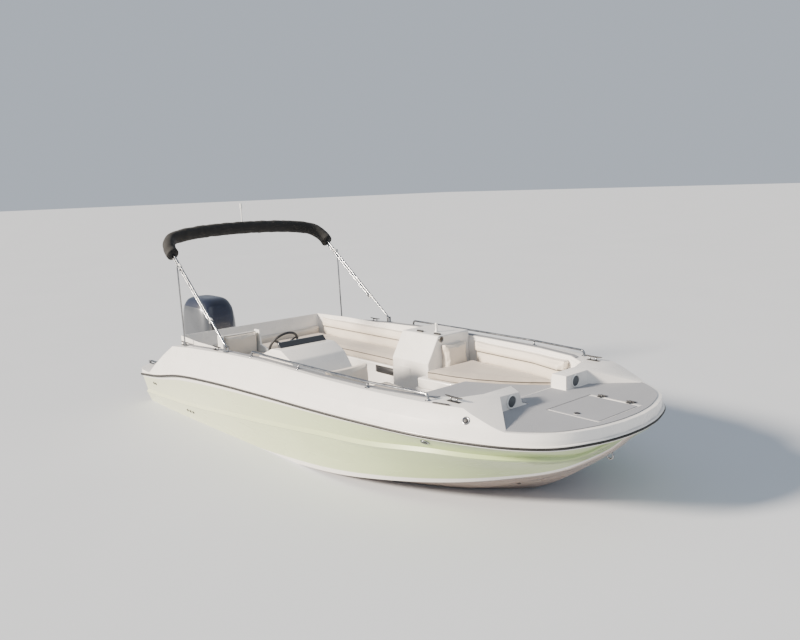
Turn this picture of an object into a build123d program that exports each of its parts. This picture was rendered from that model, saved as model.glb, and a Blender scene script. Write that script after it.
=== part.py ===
from build123d import *
import os
from collections import namedtuple
from math import atan2, cos, degrees, pi, radians, sin

# Open-bow outboard deck boat.  Millimetres, +X to the bow, +Y to port, +Z up.
# The origin is on the centreline, at the waterline, amidships.

# Main dimensions
transom_x = -3120          # flat stern of the hull, where the motor clamps
bow_x = 3160               # foremost point of the hull moulding
half_beam = 1290           # centreline to the hull's side at the rub rail
chine_half = 1100          # centreline to the chine
keel_depth = 420           # keel below the waterline
sheer_z = 700              # hull and deck joint amidships
gunwale_z = 955            # top of the gunwale
foredeck_z = 830           # walking level of the foredeck
platform_z = 425           # walking level of the swim platforms
platform_reach = 240       # platforms aft of the transom
sole_z = 300               # cockpit floor
bow_shelf_z = 520          # shelf that carries the bow seats
bow_seat_z = 640           # top of the moulded bow seats, under their cushions
seam = 0.3                 # clearance between parts that only lie together
pin_clearance = 0.1        # radial clearance of a hinge pin in its bore
shaft_clearance = 0.05     # radial clearance of a shaft in its bearing

# Hull sections.  Columns: distance along the hull as a share of its length, keel height as a
# share of its depth, chine half-breadth as a share of its greatest, chine height, style line
# half-breadth as a share of the half beam, style line height, ledge height, rail half-breadth
# as a share of the half beam, rail height above the sheer amidships.  Heights are shares of
# the sheer's.
sections = [
    (0.000, -1, 0.985, -0.1571, 0.912, 0.1857, 0.0371, 0.940, -0.4714),
    (0.085, -1, 0.995, -0.1543, 0.930, 0.2286, 0.0429, 0.966, -0.3771),
    (0.195, -1, 1.000, -0.1371, 0.944, 0.2829, 0.0486, 0.988, -0.2071),
    (0.330, -1, 1.000, -0.1000, 0.955, 0.3914, 0.0514, 1.000, -0.1057),
    (0.480, -0.98, 1.000, -0.0343, 0.962, 0.5171, 0.0514, 1.000, -0.0457),
    (0.620, -0.88, 0.985, 0.0743, 0.962, 0.6471, 0.0514, 1.000, -0.0014),
    (0.725, -0.625, 0.890, 0.1971, 0.922, 0.7143, 0.0486, 0.978, 0.0257),
    (0.810, -0.257, 0.720, 0.3043, 0.837, 0.7857, 0.0457, 0.925, 0.0357),
    (0.880, 0.257, 0.527, 0.4329, 0.720, 0.8071, 0.0400, 0.828, 0.0371),
    (0.935, 0.81, 0.320, 0.5714, 0.566, 0.8314, 0.0343, 0.706, 0.0371),
    (0.972, 1.24, 0.110, 0.7786, 0.388, 0.8629, 0.0243, 0.545, 0.0371),
    (0.993, 1.57, 0.036, 0.9600, 0.155, 0.9829, 0.0129, 0.302, 0.0371),
    (1.000, 1.67, 0.020, 1.0086, 0.060, 1.0171, 0.0057, 0.110, 0.0371),
]
chine_flat = 0.92          # inner edge of the chine's flat, as a share of its half-breadth
chine_drop = 12            # inner edge of the chine's flat below its outer edge
strake_in, strake_out = 0.50, 0.56   # spray strake on the bottom, as shares of the chine
ledge = 0.985              # upper edge of the style line, as a share of its half-breadth

# Deck moulding.  Flank columns: share of the height from the rub rail to the gunwale, share of
# the rail's half-breadth.
flank = [(0.0, 1.0), (0.22, 0.995), (0.52, 0.975), (0.84, 0.93), (1.0, 0.90)]
crown = 5                  # flank carried this far above the gunwale before its top is cut
gunwale_width = 100        # flat top of the gunwale beside the cockpit
ramp_foot_x = -2870        # stern end of the gunwales, at the platforms
ramp_top_x = -2200
aft_gunwale_drop = 110     # gunwale below its full height at the ramp's top
block_face_x = 2330        # forward face of the two speaker blocks
block_thick = 150
block_in = 270             # inboard face of each block from the centreline
block_width = 305          # along the block to the slanting bulwark
bulwark_end_x = 2680       # bow end of the raised bulwarks
bulwark_edge = 39          # rail to the bulwark's inner face at its bow end
stern_deck_half = half_beam - 260   # half-width of the level deck behind the cockpit
stern_deck_thick = 30
stern_wall = 60            # wall between the cockpit and the stern deck
platform_thick = 62
mat = 6                    # thickness of the deck mats
mat_margin = 45            # moulding left bare round the foredeck mat

# Cockpit
cockpit_aft_x = -2360
cockpit_fwd_x = block_face_x - block_thick
liner_wall = 12
bow_well_x = 470           # aft end of the bow seats
walkway_aft = 230          # half-width of the walkway between the bow seats, at its aft end
walkway_fwd = 340
bow_step_x = 1100          # aft end of the raised bow step
bow_step_z = 700
bow_cushion = 88           # thickness of a bow seat cushion
backrest_thick = 85        # depth of the bow and lounge backrests
aft_bench_x = -1830        # forward face of the aft bench
lounge_depth = 541         # port lounge, from its inboard face to the cockpit's side
lounge_fwd_x = -130        # forward end of the port lounge, behind its console
lounge_z = 590             # top of the moulded lounge, under its cushions
lounge_cushion = 95
lounge_back_z = 905        # top of the port backrest
cushion_gap = 2            # between cushions that lie side by side

# Bow hatch, hinged on its port edge
hatch_aft_x = 2567
hatch_fwd_x = 3035
hatch_half = 288
hatch_gap = 8
hatch_thick = 30
locker_inset = 88          # hollow under the hatch: hatch's edge to the locker's side
locker_z = 600             # floor of the locker
hinge_inset = 100          # end of the hatch to each hinge's middle
knuckle_r = 5.5
knuckle_half = 14
hatch_pin_r = 2.5

# Consoles and helm
helm_width = 649           # helm console, from the cockpit's side to its inboard face
port_console_width = 629
console_gap = 4            # front of the consoles to the step of the floor
helm_aft_x = -330          # foot of the helm console
wheel_x = -655
wheel_z = 985
wheel_r = 180
wheel_rake = 35            # the wheel's plane leans this far from upright
wheel_shaft = 10
helm_seat_x = -1420
helm_seat_r = 230          # half the helm seat's width
helm_seat_z = 640          # underside of the helm seat's cushion
seat_post_r = 42
swivel_r = 18

# Bimini: a folding frame on two deck hinges
pivot_x = -1000
pivot_rise = 32            # hinge pins above the gunwale's full height
tube_r = 12.5
frame_slope = 38.3         # legs above the horizontal, leaning aft
shoulder_at = 1720         # straight part of a leg, from its hinge pin
leg_in = 42                # each leg leans inboard by this much up to its shoulder
crown_edge = (620, 1872)   # where the crown meets the shoulders' slant: half-width, along the slope
crown_bends = (230, 900, 900, 230)
second_bow_drop = 36       # second bow under the main bow
second_bow_start = 430     # its lower end, along the leg
slider_at = 1300           # the strut's hinge, along the leg
strut_out = 34             # strut outboard of the leg
strut_r = 9
strut_foot_x = -1985
frame_pin_r = 5
boot_r = 52
boot_start = 1500          # lower end of the boot, along the leg
mast_top = 210             # all-round light above the boot's crown

# Outboard motor
motor_transom_z = 270      # top of the transom board inside the motor well
well_half = 380            # half-width of the motor well
well_fwd_x = -2760
well_depth = 150           # well's floor below the transom board's top
transom_board = 62
tilt_x = transom_x + 10
tilt_z = motor_transom_z + 62
tilt_pin_r = 14
steer_x = transom_x - 175  # steering axis
king_pin = 20
cowl_front_x = transom_x - 60
cowl_length = 820
cowl_half = 268
cowl_base_z = 462
cav_z = -430               # anti-ventilation plate
leg_back = 300             # steering axis to the leg's trailing edge
prop_x = transom_x - 520
prop_z = -640              # propeller shaft
prop_r = 185
prop_pitch = 430
hub_r = 52
prop_shaft = 14

# Cowl sections.  Columns: height above the cowl's base, front face aft of the cowl's front,
# rear face forward of its back, half-width.
cowl_sections = [(0, 60, 70, 0.80), (60, 25, 30, 0.94), (250, 0, 0, 1.0), (450, 20, 5, 0.98),
                 (590, 60, 30, 0.90), (670, 115, 80, 0.73), (708, 200, 170, 0.48)]

# Small fittings.  Cleats: x, distance in from the gunwale's outer edge.
cleat_places = [(2160, 120), (-1250, 46), (-2080, 52)]
rail_posts = [-520, 330, 1326, 1985]     # posts of each grab rail, along the boat
rail_in = 52               # grab rail inboard of the gunwale's outer edge
rail_rise = 50
rail_tube_r = 11
speaker_r = 58
speaker_in = 130          # speaker's centre outboard of the block's inboard face

Station = namedtuple("Station", "x keel_z chine_y chine_z style_y style_z ledge rail_y rail_z")


def smooth(rows, column, at):
    """A table's column at any place in its first column, on a smooth curve through its rows."""
    last = len(rows) - 1
    k = max(i for i in range(last) if rows[i][0] <= at)

    def slope(i):
        low, high = rows[max(i - 1, 0)], rows[min(i + 1, last)]
        return (high[column] - low[column]) / (high[0] - low[0])

    gap = rows[k + 1][0] - rows[k][0]
    t = (at - rows[k][0]) / gap
    return ((1 + 2 * t) * (1 - t) ** 2 * rows[k][column] + t * (1 - t) ** 2 * gap * slope(k)
            + t * t * (3 - 2 * t) * rows[k + 1][column] - t * t * (1 - t) * gap * slope(k + 1))


def station(share):
    """The hull's section at a share of its length, in real sizes."""
    keel, chine_y, chine_z, style_y, style_z, step, rail_y, rail_z = (
        smooth(sections, column, share) for column in range(1, len(sections[0])))
    return Station(transom_x + share * (bow_x - transom_x), keel * keel_depth, chine_y * chine_half,
                   chine_z * sheer_z, style_y * half_beam, style_z * sheer_z, step * sheer_z,
                   rail_y * half_beam, (1 + rail_z) * sheer_z)


shares = [row[0] for row in sections]
between_rows = [(a + b) / 2 for a, b in zip(shares, shares[1:-1])]
stations = [station(share) for share in sorted(shares + between_rows)]


def along(points, x):
    """The straight-line value at x in a list of (x, value) that runs towards the bow."""
    for (x0, v0), (x1, v1) in zip(points, points[1:]):
        if x <= x1:
            return v0 + (v1 - v0) * (x - x0) / (x1 - x0)
    return points[-1][1]


def rail_half(x):
    """Half-breadth of the hull at the rub rail."""
    return along([(s.x, s.rail_y) for s in stations], x)


def gunwale_edge(x):
    """Half-breadth of the gunwale's outer top edge."""
    return flank[-1][1] * rail_half(x)


def both_sides(half):
    """A closed outline from the port half's points, listed from the centreline outwards."""
    return half + [(-y, z) for y, z in reversed(half) if y > 0]


def mirrored(points):
    """A plan outline from its port half, listed from the bow's end to the stern's."""
    return points + [(x, -y) for x, y in reversed(points)]


def box(x0, x1, y0, y1, z0, z1, mode=Mode.ADD):
    """A block between two opposite corners."""
    with Locations(((x0 + x1) / 2, (y0 + y1) / 2, (z0 + z1) / 2)):
        Box(abs(x1 - x0), abs(y1 - y0), abs(z1 - z0), mode=mode)


def prism_y(points, y0, y1, mode=Mode.ADD, rounding=()):
    """An outline in X and Z carried across the boat from y0 to y1.

    rounding lists (corner number, radius) for the outline's corners that are rounded.
    """
    with BuildSketch(Plane.XZ.offset(-y0)) as outline:
        Polygon(*points, align=None)
        for corner, radius in rounding:
            x, z = points[corner]
            picked = outline.vertices().sort_by_distance((x, z, 0))[0]
            fillet(picked, radius)
    extrude(outline.sketch, amount=-(y1 - y0), mode=mode)


def prism_z(points, z0, z1, mode=Mode.ADD):
    """An outline in plan carried up from z0 to z1."""
    with BuildSketch(Plane.XY.offset(z0)) as outline:
        Polygon(*points, align=None)
    extrude(outline.sketch, amount=z1 - z0, mode=mode)


def rod(start, end, radius, mode=Mode.ADD):
    """A round bar between two points."""
    start, end = Vector(*start), Vector(*end)
    with Locations(Plane(origin=start, z_dir=end - start).location):
        Cylinder(radius, (end - start).length, align=(Align.CENTER, Align.CENTER, Align.MIN), mode=mode)


# The gunwale's top line in side view, stern to bow.
gunwale_line = [(transom_x - 10, platform_z), (ramp_foot_x, platform_z),
                (ramp_top_x, gunwale_z - aft_gunwale_drop), (-1800, gunwale_z - 72),
                (-1000, gunwale_z - 22), (-300, gunwale_z), (block_face_x, gunwale_z),
                (bulwark_end_x, foredeck_z), (bow_x + 10, foredeck_z)]


def gunwale_height(x):
    """Height of the gunwale's flat top at a distance along the hull."""
    return along(gunwale_line, x)


# Cockpit's side, bow to stern.  Columns: x, how much nearer the centreline than amidships.
cockpit_side = flank[-1][1] * half_beam - gunwale_width
narrowing = [(cockpit_aft_x, 60), (-1800, 0), (700, 0), (cockpit_fwd_x - 730, 46),
             (cockpit_fwd_x - 280, 136), (cockpit_fwd_x - 70, 271), (cockpit_fwd_x, 461)]


def side_at(x, inset=0):
    """Half-breadth of the cockpit at x, less an inset."""
    return cockpit_side - along(narrowing, x) - inset


def side_points(x0, x1, inset):
    """The cockpit's port side from x0 to x1, as points in plan."""
    middle = [x for x, narrow in narrowing if min(x0, x1) < x < max(x0, x1)]
    if x0 > x1:
        middle.reverse()
    return [(x, side_at(x, inset)) for x in [x0] + middle + [x1]]


def cockpit_space(inset, floor, mode):
    """The hollow of the cockpit: deep floor aft, walkway, and the shelf for the bow seats."""
    top = gunwale_z + 50
    deep_z = sole_z - liner_wall + floor
    shelf_z = bow_shelf_z + floor
    whole = side_points(cockpit_fwd_x, cockpit_aft_x, inset)
    whole = [(whole[0][0] - inset, whole[0][1])] + whole[1:-1] + [(whole[-1][0] + inset, whole[-1][1])]
    prism_z(mirrored(whole), shelf_z, top, mode)
    aft = side_points(bow_well_x, cockpit_aft_x, inset)
    aft = [(aft[0][0] - inset, aft[0][1])] + aft[1:-1] + [(aft[-1][0] + inset, aft[-1][1])]
    prism_z(mirrored(aft), deep_z, shelf_z, mode)
    prism_z(mirrored([(bow_step_x - inset, walkway_fwd - inset), (bow_well_x - 60, walkway_aft - inset)]),
            deep_z, shelf_z, mode)


def stand_on_gunwales():
    """Cut away what lies under the gunwales' top line."""
    prism_y(gunwale_line + [(bow_x + 10, 0), (transom_x - 10, 0)], -half_beam, half_beam, Mode.SUBTRACT)


def locker(z1):
    """Cut the hollow under the bow hatch, up to a height."""
    half = hatch_half - locker_inset
    box(hatch_aft_x + locker_inset, hatch_fwd_x - locker_inset - 17, -half, half, locker_z, z1,
        Mode.SUBTRACT)


# Hull: one solid from the keel to the rub rail, hollow only where the cockpit is.
with BuildPart() as hull:
    for s in stations:
        with BuildSketch(Plane.YZ.offset(s.x)):
            inner_y, inner_z = chine_flat * s.chine_y, s.chine_z - chine_drop
            rise = (inner_z - s.keel_z) / chine_flat
            half = [(0, s.keel_z), (strake_in * s.chine_y, s.keel_z + strake_in * rise),
                    (strake_out * s.chine_y, s.keel_z + strake_in * rise),
                    (strake_out * s.chine_y + 2, s.keel_z + strake_out * rise + 1),
                    (inner_y, inner_z), (s.chine_y, s.chine_z), (s.style_y, s.style_z),
                    (ledge * s.style_y, s.style_z + s.ledge), (s.rail_y, s.rail_z)]
            Polygon(*both_sides(half), align=None)
    loft(ruled=True)
    cockpit_space(0, 0, Mode.SUBTRACT)
    box(transom_x - 20, well_fwd_x, -well_half, well_half, motor_transom_z, sheer_z, Mode.SUBTRACT)
    box(transom_x + transom_board, well_fwd_x, -well_half, well_half, motor_transom_z - well_depth,
        motor_transom_z, Mode.SUBTRACT)
    locker(gunwale_z)
    box(ramp_foot_x, cockpit_aft_x - stern_wall, -stern_deck_half - seam, stern_deck_half + seam,
        platform_z - stern_deck_thick, gunwale_z, Mode.SUBTRACT)
hull.part.label = "hull"


# Deck moulding: flanks, gunwales, foredeck and swim platforms.
sky = gunwale_z + 200
bulwark_end_y = rail_half(bulwark_end_x) - bulwark_edge
block_out = block_in + block_width
with BuildPart() as deck:
    for s in stations:
        with BuildSketch(Plane.YZ.offset(s.x)):
            height = gunwale_z + crown - s.rail_z
            Polygon(*both_sides([(wide * s.rail_y, s.rail_z + rise * height) for rise, wide in flank]),
                    align=None)
    loft(ruled=True)
    prism_y(gunwale_line + [(bow_x + 10, sky), (transom_x - 10, sky)],
            -half_beam - 50, half_beam + 50, Mode.SUBTRACT)
    # Walking surface of the foredeck, between the blocks and the slanting bulwarks.
    prism_z(mirrored([(bow_x + 50, half_beam), (bulwark_end_x + 330, half_beam),
                      (bulwark_end_x, bulwark_end_y), (block_face_x, block_out),
                      (block_face_x, block_in), (cockpit_fwd_x, block_in)]),
            foredeck_z, sky, Mode.SUBTRACT)
    # Level stern deck between the flanks.
    box(transom_x - 20, cockpit_aft_x - stern_wall, -stern_deck_half, stern_deck_half, platform_z, sky,
        Mode.SUBTRACT)
    box(ramp_foot_x + 60, cockpit_aft_x - stern_wall - seam, -stern_deck_half, stern_deck_half,
        platform_z - stern_deck_thick + seam, platform_z)
    cockpit_space(0, 0, Mode.SUBTRACT)
    # Swim platforms on both sides of the motor.
    stern_half = stations[0].rail_y
    for side in (1, -1):
        wing = [(transom_x, well_half), (transom_x - platform_reach, well_half + 60),
                (transom_x - platform_reach, stern_half - 180),
                (transom_x - platform_reach * 0.55, stern_half - 50), (transom_x, stern_half - 5)]
        prism_z([(x, side * y) for x, y in wing], platform_z - platform_thick, platform_z)
    # Motor well.
    box(transom_x - 20, well_fwd_x, -well_half, well_half, motor_transom_z, sky, Mode.SUBTRACT)
    # Rebate and locker under the bow hatch.
    box(hatch_aft_x - hatch_gap, hatch_fwd_x + hatch_gap, -hatch_half - hatch_gap,
        hatch_half + hatch_gap, foredeck_z + mat - hatch_thick - seam, sky, Mode.SUBTRACT)
    locker(foredeck_z)
    # Sockets of the two speakers, in the blocks' forward faces.
    for side in (1, -1):
        rod((block_face_x + 1, side * (block_in + speaker_in), foredeck_z + 62),
            (block_face_x - 40, side * (block_in + speaker_in), foredeck_z + 62), speaker_r - 10 + seam,
            Mode.SUBTRACT)
deck.part.label = "deck"

with BuildPart() as liner:
    cockpit_space(seam, seam, Mode.ADD)
    box(transom_x, bow_x, -half_beam, half_beam, gunwale_z - 30, gunwale_z + 100, Mode.SUBTRACT)
    cockpit_space(liner_wall, liner_wall, Mode.SUBTRACT)
    # The way forward between the speaker blocks.
    box(cockpit_fwd_x - 3 * liner_wall, cockpit_fwd_x, -block_in, block_in, foredeck_z, gunwale_z,
        Mode.SUBTRACT)
liner.part.label = "cockpit_liner"


# Rub rail round the hull and deck joint.
rail_proud = 26
rail_half_height = 21
plan = [(s.x, s.rail_y) for s in reversed(stations)]
with BuildPart() as rub_rail:
    with BuildSketch():
        Polygon(*mirrored(plan), align=None)
        offset(amount=rail_proud, kind=Kind.INTERSECTION, mode=Mode.REPLACE)
    extrude(amount=gunwale_z)
    with BuildSketch():
        Polygon(*mirrored(plan), align=None)
        offset(amount=seam, kind=Kind.INTERSECTION, mode=Mode.REPLACE)
    extrude(amount=gunwale_z, mode=Mode.SUBTRACT)
    line = [(s.x, s.rail_z) for s in stations] + [(bow_x + 60, stations[-1].rail_z)]
    band = [(x, z + rail_half_height) for x, z in line]
    band += [(x, z - rail_half_height) for x, z in reversed(line)]
    prism_y(band, -half_beam - 60, half_beam + 60, Mode.INTERSECT)
    box(transom_x - 200, transom_x + 2, -half_beam - 60, half_beam + 60, 0, gunwale_z, Mode.SUBTRACT)
rub_rail.part.label = "rub_rail"

# Grey mats on the foredeck, the cockpit floor and the platforms.
with BuildPart() as foredeck_mat:
    with BuildSketch(Plane.XY.offset(foredeck_z)):
        Polygon(*mirrored(plan), align=None)
        offset(amount=-mat_margin, kind=Kind.INTERSECTION, mode=Mode.REPLACE)
        ahead = [(bow_x, half_beam), (bulwark_end_x + 330, half_beam),
                 (bulwark_end_x - 20, bulwark_end_y - 40), (block_face_x + 20, block_out - 10),
                 (block_face_x + 20, block_in - 20), (cockpit_fwd_x + liner_wall, block_in - 20)]
        Polygon(*mirrored(ahead), align=None, mode=Mode.INTERSECT)
        with Locations(((hatch_aft_x + hatch_fwd_x) / 2, 0)):
            Rectangle(hatch_fwd_x - hatch_aft_x + 2 * hatch_gap, 2 * (hatch_half + hatch_gap),
                      mode=Mode.SUBTRACT)
    extrude(amount=mat)
foredeck_mat.part.label = "foredeck_mat"

lining = liner_wall + 1    # from the moulding's side to what stands inside the liner
wall_y = cockpit_side - lining
helm_in_y = helm_width - wall_y - 1
port_console_y = wall_y + 1 - port_console_width
seat_front_y = wall_y + lining - lounge_depth
with BuildPart() as cockpit_mat:
    mat_aft_x, mat_fwd_x = aft_bench_x + 20, bow_well_x - 20
    prism_z([(mat_aft_x, 8 - wall_y), (helm_aft_x - 90, 8 - wall_y), (helm_aft_x - 90, helm_in_y + 20),
             (mat_fwd_x, helm_in_y + 20), (mat_fwd_x, port_console_y - 20),
             (lounge_fwd_x - 10, port_console_y - 20), (lounge_fwd_x - 10, seat_front_y - 20),
             (mat_aft_x, seat_front_y - 20)], sole_z, sole_z + mat)
cockpit_mat.part.label = "cockpit_mat"

with BuildPart() as platform_mats:
    for side, inset in ((1, 90), (-1, 150)):
        y0, y1 = sorted((side * (well_half + 90), side * (stern_half - 210)))
        box(transom_x - platform_reach + inset, transom_x - 20, y0, y1, platform_z + seam, platform_z + mat)
platform_mats.part.label = "platform_mats"

# Bow hatch, and the two hinges that hold it to the deck.  Each hinge has one knuckle on the
# hatch between two on the deck, all on one pin.
hinge_y = hatch_half + hatch_gap
hinge_z = foredeck_z + mat + 9
hinge_places = (hatch_aft_x + hinge_inset, hatch_fwd_x - hinge_inset)
leaf_half = 34
with BuildPart() as bow_hatch:
    top = foredeck_z + mat
    box(hatch_aft_x, hatch_fwd_x, -hatch_half, hatch_half, top - hatch_thick, top)
    for x in hinge_places:
        box(x - knuckle_half, x + knuckle_half, hatch_half - 34, hinge_y - 2, top - 1, top + 4)
        box(x - knuckle_half, x + knuckle_half, hinge_y - 8, hinge_y - 2, top, hinge_z)
        rod((x - knuckle_half, hinge_y, hinge_z), (x + knuckle_half, hinge_y, hinge_z), knuckle_r)
        rod((x - 20, hinge_y, hinge_z), (x + 20, hinge_y, hinge_z), hatch_pin_r + pin_clearance,
            Mode.SUBTRACT)
    # Flush latch on the starboard edge.
    latch = ((hatch_aft_x + hatch_fwd_x) / 2, 60 - hatch_half)
    rod((*latch, top - 1), (*latch, top + 3), 26)
bow_hatch.part.label = "bow_hatch"
with BuildPart() as hatch_hinges:
    for x in hinge_places:
        box(x - leaf_half, x + leaf_half, hinge_y + 11, hinge_y + 44, foredeck_z + mat + seam,
            foredeck_z + mat + 4)
        rod((x - leaf_half, hinge_y, hinge_z), (x + leaf_half, hinge_y, hinge_z), hatch_pin_r)
        for x0, x1 in ((x - leaf_half, x - knuckle_half - 1), (x + knuckle_half + 1, x + leaf_half)):
            rod((x0, hinge_y, hinge_z), (x1, hinge_y, hinge_z), knuckle_r)
            box(x0, x1, hinge_y + 2, hinge_y + 14, hinge_z - 5.5, hinge_z - 1.5)
hatch_hinges.part.label = "hatch_hinges"

# Raised step between the bow seats and the moulded seats on both sides of it.  Seat edge
# columns: x, distance from the centreline.
well_floor = bow_shelf_z + liner_wall
seat_edge = [(bow_well_x + 14, walkway_aft + 5), (900, 275), (1190, 350), (1450, 470), (1660, 605),
             (1850, 770)]
# Side edge of the step.  Columns: distance aft of the cockpit's bow end, from the centreline.
step_edge = [(200, 790), (320, 752), (540, 578), (750, 446), (1000, 330)]
with BuildPart() as bow_step:
    edge = [(cockpit_fwd_x - ahead, y) for ahead, y in step_edge]
    prism_z(mirrored([(cockpit_fwd_x - lining, side_at(cockpit_fwd_x, lining + 28))] + edge
                     + [(bow_step_x + liner_wall, walkway_fwd - 32)]), well_floor + seam, bow_step_z)
bow_step.part.label = "bow_step"

seat_fwd_x = cockpit_fwd_x - 220
with BuildPart() as bow_seats:
    for side in (1, -1):
        outer = side_points(seat_fwd_x, bow_well_x + 14, lining)
        prism_z([(x, side * y) for x, y in seat_edge + outer], well_floor + seam, bow_seat_z)
bow_seats.part.label = "bow_seats"

back_in = lining + backrest_thick
pad_aft_x = bow_well_x + 105
pad_fwd_x = cockpit_fwd_x - 280
bow_roll_z = 822           # foot of the backrests' upper roll


def seat_pad(side):
    """One bow seat cushion, between the walkway and its backrest."""
    outer = side_points(pad_fwd_x, pad_aft_x, back_in + cushion_gap)
    inner = [(pad_aft_x, walkway_aft + 10)] + seat_edge[1:]
    outer[0] = (outer[0][0], outer[0][1] - 28)
    prism_z([(x, side * y) for x, y in inner + outer], bow_seat_z + seam, bow_seat_z + bow_cushion)


def bow_back(side):
    """One bow backrest along the inside of the bulwark: a low band under a thicker roll."""
    outer = side_points(pad_fwd_x, pad_aft_x, lining)
    for low, high, inset in ((bow_seat_z + seam, bow_roll_z - seam, back_in - 18),
                             (bow_roll_z, gunwale_z - 15, back_in)):
        inner = side_points(pad_aft_x, pad_fwd_x, inset)
        inner[-1] = (inner[-1][0], inner[-1][1] - 26)
        prism_z([(x, side * y) for x, y in outer + inner], low, high)


with BuildPart() as bow_cushion_port:
    seat_pad(1)
bow_cushion_port.part.label = "bow_cushion_port"
with BuildPart() as bow_cushion_starboard:
    seat_pad(-1)
bow_cushion_starboard.part.label = "bow_cushion_starboard"
with BuildPart() as bow_back_port:
    bow_back(1)
bow_back_port.part.label = "bow_back_port"
with BuildPart() as bow_back_starboard:
    bow_back(-1)
bow_back_starboard.part.label = "bow_back_starboard"

# Consoles.
console_front_x = bow_well_x - liner_wall - console_gap
with BuildPart() as helm_console:
    prism_y([(helm_aft_x, sole_z + seam), (-400, 790), (-660, 850), (-650, 880), (-225, 1062), (-60, 1066),
             (110, 985), (390, 640), (console_front_x, 540), (console_front_x, sole_z + seam)],
            -wall_y, helm_in_y, rounding=((1, 60), (4, 60), (5, 60), (6, 90), (7, 90)))
    rim = helm_console.faces().sort_by(Axis.Y)[-1].edges().sort_by(Axis.Z)[1:]
    fillet(rim, 14)
helm_console.part.label = "helm_console"

with BuildPart() as port_console:
    with BuildSketch(Plane.YZ.offset(lounge_fwd_x + 6)) as outline:
        Polygon((port_console_y, sole_z + seam), (port_console_y, 740), (port_console_y + 160, 1020),
                (wall_y, 1020), (wall_y, sole_z + seam), align=None)
        inboard = outline.vertices().sort_by(Axis.Y)[:3]
        fillet([corner for corner in inboard if corner.Z > lounge_z], 36)
    extrude(amount=console_front_x - lounge_fwd_x - 6)
port_console.part.label = "port_console"

with BuildPart() as bow_lounge_pads:
    low = bow_seat_z + seam
    for y0, y1 in ((port_console_y + 170, wall_y - 108), (108 - wall_y, helm_in_y - 20)):
        prism_y([(console_front_x + seam, low), (console_front_x + 110, low), (console_front_x + 80, 940),
                 (console_front_x + seam, 940)], y0, y1)
bow_lounge_pads.part.label = "bow_lounge_pads"

with BuildPart() as windscreen:
    prism_y([(-215, 1050), (-150, 1050), (-214, 1112), (-232, 1112)], 70 - wall_y, helm_in_y - 30)
    add(helm_console.part, mode=Mode.SUBTRACT)
windscreen.part.label = "windscreen"

# Steering wheel and its column.
rake = radians(wheel_rake)
axis = Vector(-cos(rake), 0, sin(rake))
wheel_y = 421 - cockpit_side
hub = Vector(wheel_x, wheel_y, wheel_z)
rim_r = 14
with BuildPart() as steering_wheel:
    with BuildSketch(Plane(origin=hub, z_dir=axis)):
        RegularPolygon(wheel_r, 24)
        RegularPolygon(wheel_r - 2 * rim_r, 24, mode=Mode.SUBTRACT)
    extrude(amount=rim_r * 0.8, both=True)
    with Locations(Plane(origin=hub, z_dir=axis).location):
        Cylinder(42, 30)
        with PolarLocations(0, 3, start_angle=90):
            with Locations((wheel_r / 2, 0, 0)):
                Box(wheel_r - 40, 26, 8)
        Cylinder(wheel_shaft + shaft_clearance, 60, mode=Mode.SUBTRACT)
steering_wheel.part.label = "steering_wheel"
with BuildPart() as steering_column:
    foot = hub - axis * 20
    rod(tuple(foot), tuple(hub - axis * 190), 26)
    rod(tuple(hub + axis * 14), tuple(foot), wheel_shaft)
    add(helm_console.part, mode=Mode.SUBTRACT)
steering_column.part.label = "steering_column"

# Instrument panel on the dash, which rises from the wheel to the screen.
dash_foot, dash_top = (-650, 880), (-225, 1062)
panel_thick = 5


def on_dash(share, off):
    """A point in side view on the dash: a share of the way up, and off its face."""
    run, rise = dash_top[0] - dash_foot[0], dash_top[1] - dash_foot[1]
    length = (run * run + rise * rise) ** 0.5
    return (dash_foot[0] + share * run - off * rise / length,
            dash_foot[1] + share * rise + off * run / length)


with BuildPart() as instrument_panel:
    prism_y([on_dash(0.42, seam), on_dash(0.86, seam), on_dash(0.86, panel_thick),
             on_dash(0.42, panel_thick)], wheel_y - 190, wheel_y + 150)
instrument_panel.part.label = "instrument_panel"

# Throttle box with its lever, handles on the port console and the ring of its cup holder.
with BuildPart() as console_fittings:
    throttle_y = helm_in_y + seam
    box(-420, -310, throttle_y, throttle_y + 30, 840, 930)
    rod((-365, throttle_y + 25, 885), (-365, throttle_y + 48, 885), 22)
    rod((-365, throttle_y + 40, 885), (-420, throttle_y + 40, 1030), 9)
    for x in (60, 330):
        box(x, x + 90, port_console_y + 210, port_console_y + 232, 1020 + seam, 1036)
    rod((console_front_x + seam, port_console_y + 197, 982),
        (console_front_x + 6, port_console_y + 197, 982), 34)
console_fittings.part.label = "console_fittings"

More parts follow.
